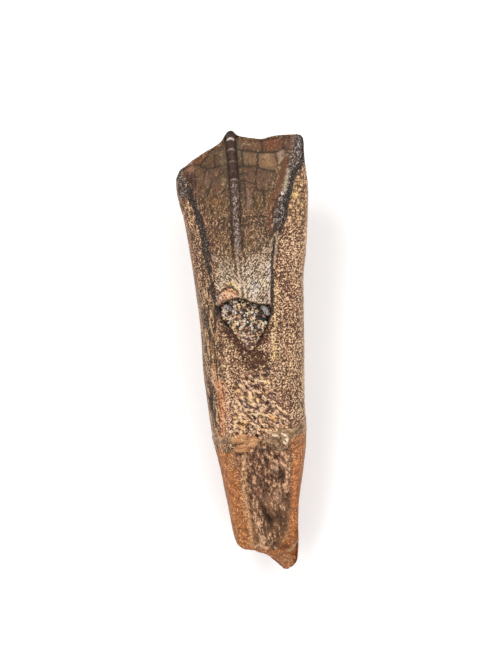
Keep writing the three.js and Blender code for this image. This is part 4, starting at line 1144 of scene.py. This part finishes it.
class Grower:
    """Adds nodes to a geometry tree: their settings, then values or links by socket."""

    def __init__(self, name, sizes):
        self.tree = bpy.data.node_groups.new(name, "GeometryNodeTree")
        self.tree.interface.new_socket("Geometry", in_out="INPUT", socket_type="NodeSocketGeometry")
        self.tree.interface.new_socket("Geometry", in_out="OUTPUT", socket_type="NodeSocketGeometry")
        for size, kind in sizes.items():
            self.tree.interface.new_socket(size, in_out="INPUT", socket_type=kind)
        self.given = self.tree.nodes.new("NodeGroupInput").outputs

    def node(self, kind, settings, inputs):
        made = self.tree.nodes.new(kind)
        for name, value in settings.items():
            setattr(made, name, value)
        for key, value in inputs.items():
            if isinstance(value, bpy.types.NodeSocket):
                self.tree.links.new(value, made.inputs[key])
            else:
                made.inputs[key].default_value = value
        return made.outputs

    def math(self, operation, a, b, c=0.0, clamped=False):
        settings = {"operation": operation, "use_clamp": clamped}
        return self.node("ShaderNodeMath", settings, {0: a, 1: b, 2: c})[0]

    def run(self, piece, values):
        """Runs the tree on a piece with its named inputs, and leaves a plain mesh."""
        modifier = piece.modifiers.new(self.tree.name, "NODES")
        modifier.node_group = self.tree
        for item in self.tree.interface.items_tree:
            if item.in_out == "INPUT" and item.name in values:
                modifier[item.identifier] = values[item.name]
        made = piece.evaluated_get(bpy.context.evaluated_depsgraph_get())
        mesh = bpy.data.meshes.new_from_object(made)
        piece.modifiers.clear()
        piece.data = mesh


scatter = Grower("scatter_grains", {
    "Spacing": "NodeSocketFloat", "Smallest": "NodeSocketFloat", "Largest": "NodeSocketFloat",
    "Roughness": "NodeSocketFloat", "Void": "NodeSocketVector", "Void Reach": "NodeSocketFloat",
    "Seed": "NodeSocketInt", "Finish": "NodeSocketMaterial",
})
given = scatter.given
facing_way = scatter.node("GeometryNodeInputNormal", {}, {})[0]
upward = scatter.node("ShaderNodeSeparateXYZ", {}, {0: facing_way})["Z"]
position = scatter.node("GeometryNodeInputPosition", {}, {})[0]
from_void = scatter.node("ShaderNodeVectorMath", {"operation": "DISTANCE"}, {0: position, 1: given["Void"]})
filling = scatter.math("DIVIDE", from_void["Value"], given["Void Reach"], clamped=True)
patches = scatter.node("ShaderNodeTexNoise", {}, {"Scale": 1500.0, "Detail": 2.0})
covered = scatter.math("MULTIPLY_ADD", filling, 0.25, patches["Fac"])
settled = scatter.math("GREATER_THAN", covered, 0.6)
settled_on_top = scatter.math("GREATER_THAN", scatter.math("MULTIPLY", upward, settled), 0.3)
dots = scatter.node(
    "GeometryNodeDistributePointsOnFaces",
    {"distribute_method": "POISSON"},
    {"Mesh": given["Geometry"], "Selection": settled_on_top, "Distance Min": given["Spacing"],
     "Density Max": 9e7, "Seed": given["Seed"]},
)
grain_lot = scatter.node("FunctionNodeRandomValue", {"data_type": "FLOAT"}, {2: 0.021, 3: 1.0, 8: 3})
marked = scatter.node(
    "GeometryNodeStoreNamedAttribute",
    {"data_type": "FLOAT", "domain": "POINT"},
    {"Geometry": dots["Points"], "Name": "grain", "Value": grain_lot[1]},
)
ball = scatter.node("GeometryNodeMeshUVSphere", {}, {"Segments": 8, "Rings": 6, "Radius": 1.0})
spin = scatter.node("FunctionNodeRandomValue", {"data_type": "FLOAT_VECTOR"}, {1: (6.3, 6.3, 6.3), 8: 5})
sizes = scatter.node("FunctionNodeRandomValue", {"data_type": "FLOAT_VECTOR"}, {8: 9})
for corner_name, key in (("Smallest", 0), ("Largest", 1)):
    scatter.tree.links.new(given[corner_name], sizes[0].node.inputs[key])
placed = scatter.node(
    "GeometryNodeInstanceOnPoints",
    {},
    {"Points": marked[0], "Instance": ball["Mesh"], "Rotation": spin[0], "Scale": sizes[0]},
)
real = scatter.node("GeometryNodeRealizeInstances", {}, {0: placed[0]})
wobble = scatter.node("ShaderNodeTexNoise", {}, {"Scale": 4500.0, "Detail": 1.0})
push = scatter.node(
    "ShaderNodeVectorMath", {"operation": "SUBTRACT"}, {0: wobble["Color"], 1: (0.5, 0.5, 0.5)},
)
pushed = scatter.node(
    "ShaderNodeVectorMath", {"operation": "SCALE"}, {0: push[0], "Scale": given["Roughness"]},
)
rough = scatter.node("GeometryNodeSetPosition", {}, {"Geometry": real[0], "Offset": pushed[0]})
joined = scatter.node("GeometryNodeJoinGeometry", {}, {0: given["Geometry"]})
scatter.tree.links.new(rough[0], joined[0].node.inputs[0])
finished = scatter.node("GeometryNodeSetMaterial", {}, {"Geometry": joined[0], "Material": given["Finish"]})
scatter.node("NodeGroupOutput", {}, {0: finished[0]})
scatter.run(bed, {
    "Spacing": GRAIN_SPACING * MM, "Smallest": GRAIN_SIZES[0] * MM, "Largest": GRAIN_SIZES[1] * MM,
    "Roughness": 0.3 * MM, "Void": [MM * v for v in VOID], "Void Reach": VOID_REACH * MM,
    "Seed": 4, "Finish": sand_finish,
})
bed.data.shade_smooth()
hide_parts("pocket_sandstone")
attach(bed, "root")

chip_finish, chip_bsdf, here = new_finish("bone_chip_finish")
veins = here.stretched(1, 0.6, 1).noise(0.12, 2.0)
set_up(chip_bsdf, {
    "Base Color": two_tone(veins, 0.35, 0.65, (78, 66, 60), (168, 158, 154)),
    "Roughness": 0.6,
    "Specular IOR Level": 0.2,
})
up = (np.pi * (np.arange(CHIP_ROWS) + 0.5) / CHIP_ROWS)[:, None]
round_it = 2 * np.pi * np.arange(CHIP_AROUND) / CHIP_AROUND
ball_rings = [np.sin(up) * np.cos(round_it), np.sin(up) * np.sin(round_it), -np.cos(up) + 0 * round_it]
ball = np.concatenate([np.stack(ball_rings, -1).reshape(-1, 3), [[0, 0, -1.0], [0, 0, 1.0]]])
pebble = np.sign(ball) * np.abs(ball) ** CHIP_BOXINESS
shard_faces = [tuple(reversed(f)) for f in tube_faces(CHIP_ROWS, CHIP_AROUND)]
for count, (chip_x, chip_y, half_long, half_wide, turned) in enumerate(CHIPS, 1):
    cos, sin = math.cos(math.radians(turned)), math.sin(math.radians(turned))
    dents = noise_at(pebble * (2, 5, 1) + (0, 0, 7 * count), 3)
    shard = pebble * (half_long, half_wide, CHIP_THICKNESS) * (1 + 0.25 * dents[:, None])
    shard = shard @ np.array([(cos, sin, 0), (-sin, cos, 0), (0, 0, 1)]) + (chip_x, chip_y, BED_TOP)
    chip_piece = piece_of(f"bone_chip_{count}", shard, shard_faces)
    chip_piece.data.materials.append(chip_finish)
    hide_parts("pocket_sandstone")
    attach(chip_piece, "root")

# ------------------------------------------------------------------------------------------
# The filler of an old repair: glue and putty smeared over a break right round the root, tan on
# the left and olive on the right, and thin in the middle, where crust shows through.

FILLER_TOP = [  # (x, y) along both edges of the band on the front
    (-4.6, -8.0), (-3.9, -8.05), (-3.2, -8.0), (-2.5, -8.2), (-2.1, -8.1), (-1.5, -8.05), (-0.9, -8.2),
    (-0.55, -8.4), (-0.2, -8.75), (0.2, -8.85), (0.6, -8.75), (0.95, -8.35), (1.5, -8.2), (1.8, -7.8),
    (2.1, -7.45), (2.6, -7.6), (3.2, -7.65), (3.7, -7.3), (4.0, -6.95), (4.6, -6.8),
]
FILLER_FOOT = [
    (-4.6, -8.95), (-3.9, -9.0), (-3.2, -9.0), (-2.8, -9.1), (-2.55, -9.6), (-2.25, -9.9), (-1.7, -9.88),
    (-1.0, -10.0), (-0.65, -9.8), (-0.35, -9.4), (0.0, -9.05), (0.6, -9.1), (0.95, -9.7), (1.5, -10.05),
    (2.0, -10.2), (2.6, -10.15), (2.85, -9.5), (3.1, -8.8), (4.6, -8.5),
]
FILLER_DARK = [  # (x, y) along scores and hollows in it, and along pale smears and lumps on it
    [(-2.4, -9.2), (-2.3, -9.02), (-1.9, -8.97), (-1.45, -8.96)],
    [(-2.6, -9.75), (-2.2, -9.88), (-1.7, -9.85)],
    [(2.3, -7.6), (2.9, -7.68), (3.4, -7.6), (3.8, -7.15)], [(1.75, -8.9), (2.0, -9.3), (2.1, -9.8)],
    [(1.2, -9.3), (1.5, -9.7)], [(-3.9, -9.05), (-3.2, -9.08)], [(2.0, -8.4), (2.1, -8.8)],
]
FILLER_PALE = [
    [(2.3, -8.3), (2.55, -8.5), (2.7, -8.85), (2.6, -9.1)],
    [(2.35, -9.15), (2.6, -9.3), (2.75, -9.55)], [(1.3, -8.45), (1.7, -8.5)],
]
FILLER_ROWS = 34
FILLER_AROUND = 280
FILLER_RISE = 0.17
FILLER_SUNK = 0.5  # how far its hidden side lies in the tooth
FILLER_Y = -8.4
FILLER_BACK_FOOT = -8.75
FILLER_BACK_TOP = -7.95
FILLER_WAVER = 0.2
FILLER_SMEAR_RISE = 0.1
SCORE_DEPTH = 0.06
LUMP_RISE = 0.07

band_angle = 2 * np.pi * np.arange(FILLER_AROUND) / FILLER_AROUND
band_angle = band_angle + FRONT_CROWDING * np.cos(band_angle)
band_x = skin(FILLER_Y + 0 * band_angle, band_angle)[:, 0]
on_top = step(np.sin(band_angle), -0.15, 0.15)


def band_side(front_side, back_y, seed):
    """How far up the tooth one edge of the band lies at each angle: a wavering line."""
    ring = np.stack([11 * np.cos(band_angle), 11 * np.sin(band_angle), seed + 0 * band_angle], -1)
    return curve(front_side)(band_x) * on_top + back_y * (1 - on_top) + FILLER_WAVER * noise_at(ring, 4)


low = band_side(FILLER_FOOT, FILLER_BACK_FOOT, 9.0)
high = band_side(FILLER_TOP, FILLER_BACK_TOP, 18.0)
rows = np.linspace(0, 1, FILLER_ROWS)[:, None]
base = skin(low * (1 - rows) + high * rows, band_angle + 0 * rows)
around_it = np.roll(base, -1, axis=1) - np.roll(base, 1, axis=1)
along_it = skin(base[..., 1] + 0.05, band_angle + 0 * rows) - base
outward = np.cross(along_it, around_it)
outward /= np.linalg.norm(outward, axis=-1, keepdims=True)
bx, by = base[..., 0], base[..., 1]
smear = noise_at(base.reshape(-1, 3) * (0.9, 2.4, 0.9), 5).reshape(bx.shape)
swell = 1 - np.abs(2 * rows - 1) ** 3
band_front = step(outward[..., 2], *FRONT_FACING)
rise = (FILLER_RISE * swell + FILLER_SMEAR_RISE * smear) * (0.4 + 0.6 * band_front)
rise -= 0.03 + (0.07 + GROOVE_DEPTH * groove_at(bx, by)) * band_front
outer = base + outward * rise[..., None]
inner = base - outward * FILLER_SUNK
inner[..., 2] -= 0.6 * GROOVE_DEPTH * band_front
loop_x, loop_y = (np.concatenate([plane, plane[::-1]]).ravel() for plane in (bx, by))
blotches = noise_at(np.stack([4 * loop_x, 4 * loop_y, 0 * loop_x], -1), 3)
wavering = (loop_x + 0.1 * blotches, loop_y + 0.08 * np.roll(blotches, 40))
shows = np.concatenate([band_front, 0 * band_front]).ravel()
scores = near_lines(FILLER_DARK, 0.08, *wavering) * (0.8 + 0.5 * blotches) * shows
putty_lumps = near_lines(FILLER_PALE, 0.14, *wavering) * (0.75 + 0.7 * blotches) * shows
loops = np.concatenate([outer, inner[::-1]])
loops[..., 2] += (LUMP_RISE * putty_lumps - SCORE_DEPTH * scores).reshape(loops.shape[:2])
this_row = (np.arange(len(loops)) * FILLER_AROUND)[:, None]
next_row = (np.roll(np.arange(len(loops)), -1) * FILLER_AROUND)[:, None]
here_on, next_on = np.arange(FILLER_AROUND), np.roll(np.arange(FILLER_AROUND), -1)
ring_faces = np.stack([this_row + here_on, next_row + here_on, next_row + next_on, this_row + next_on], -1)
ring_faces = [tuple(f) for f in ring_faces.reshape(-1, 4).tolist()]
putty = piece_of("repair_filler_band", loops.reshape(-1, 3), ring_faces)
paint(putty, {"scores": scores, "smears": putty_lumps})

putty_finish, putty_bsdf, here = new_finish("filler_finish")
side = here.axis("X")
smears = here.stretched(0.6, 1, 1).noise(0.42, 4.0, 0.6)
specks = here.noise(0.14, 2.0)
mixed = 0.8 * smears + 0.2 * specks
tan = mixed.ramp((0.36, colour(128, 84, 54)), (0.48, colour(180, 126, 84)), (0.62, colour(214, 160, 110)))
olive = mixed.ramp((0.36, colour(80, 60, 42)), (0.48, colour(142, 110, 80)), (0.62, colour(192, 156, 120)))
coat = (side + 1.2 * (smears - 0.5)).between(-0.6, 0.2).mix(tan, olive)
coat = (side + 1.2 * (smears - 0.5)).between(-2.45, -2.8).mix(coat, olive)
coat = (0.6 * specks.between(0.5, 0.34)).mix(coat, colour(84, 60, 44))
coat = (painted("smears") + 0.8 * (specks - 0.5)).between(0.3, 0.6).mix(coat, colour(238, 218, 188))
# Painted shade in the scores and hollows, which are also sunk.
coat = (painted("scores") + 1.2 * (specks - 0.5)).between(0.3, 0.7).mix(coat, colour(72, 52, 40))
set_up(putty_bsdf, {
    "Base Color": coat,
    "Roughness": 0.4 + 0.3 * smears,
    "Normal": (smears + 0.4 * specks).bumps(0.5, 0.06),
    "Specular IOR Level": 0.25,
})
putty.data.materials.append(putty_finish)
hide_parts("repair_filler")
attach(putty, "root")

# ------------------------------------------------------------------------------------------
# Floor, light and camera: white paper, four soft boxes round the tooth, and a camera straight
# above the enamel face, turned a little so that the tooth lies a few degrees off upright.

CAMERA_TURN = -4.0
CAMERA_HEIGHT = 0.5397  # metres, as the next three are
CAMERA_X = -0.00023
CAMERA_Y = 0.00173
FLOOR_DROP = 2e-5  # how far the paper lies below the tooth, so that they don't touch

camera = bpy.data.objects.new("camera", bpy.data.cameras.new("camera"))
camera.data.lens = 300
camera.data.sensor_width = 36
camera.data.clip_start = 0.01
camera.data.clip_end = 5
camera.location = (CAMERA_X, CAMERA_Y, CAMERA_HEIGHT)
camera.rotation_euler = (0, 0, math.radians(CAMERA_TURN))
scene.collection.objects.link(camera)
scene.camera = camera

floor_mesh = bpy.data.meshes.new("floor")
corners = [(over, along_by, -FLOOR_DROP) for over, along_by in ((-1, -1), (1, -1), (1, 1), (-1, 1))]
floor_mesh.from_pydata(corners, [], [(0, 1, 2, 3)])
floor = bpy.data.objects.new("floor", floor_mesh)
scene.collection.objects.link(floor)
floor_paper, floor_bsdf, _ = new_finish("floor_paper")
set_up(floor_bsdf, {
    "Base Color": (0.97, 0.97, 0.97, 1), "Roughness": 0.9,
    "Emission Color": (1, 1, 1, 1), "Emission Strength": 0.16,
})
floor_mesh.materials.append(floor_paper)

world = bpy.data.worlds.new("studio")
world.use_nodes = True
world.node_tree.nodes["Background"].inputs["Color"].default_value = (1, 1, 1, 1)
world.node_tree.nodes["Background"].inputs["Strength"].default_value = 0.42
scene.world = world

LIGHT_DISTANCE = 0.35
SOFT_BOXES = [  # name, degrees round from +X, degrees up, watts, and side in metres
    ("key_light", 125, 46, 0.62, 0.16), ("right_light", 35, 42, 0.42, 0.16),
    ("lower_light", -60, 44, 0.28, 0.18), ("left_light", -140, 42, 0.24, 0.16),
]
for name, turn_to, up, watts, size in SOFT_BOXES:
    box = bpy.data.objects.new(name, bpy.data.lights.new(name, "AREA"))
    box.data.size = size
    box.data.energy = watts
    flat = LIGHT_DISTANCE * math.cos(math.radians(up))
    box.location = (
        flat * math.cos(math.radians(turn_to)),
        flat * math.sin(math.radians(turn_to)),
        LIGHT_DISTANCE * math.sin(math.radians(up)),
    )
    box.rotation_euler = (math.radians(90 - up), 0, math.radians(turn_to + 90))
    scene.collection.objects.link(box)
scene.view_settings.view_transform = "Standard"
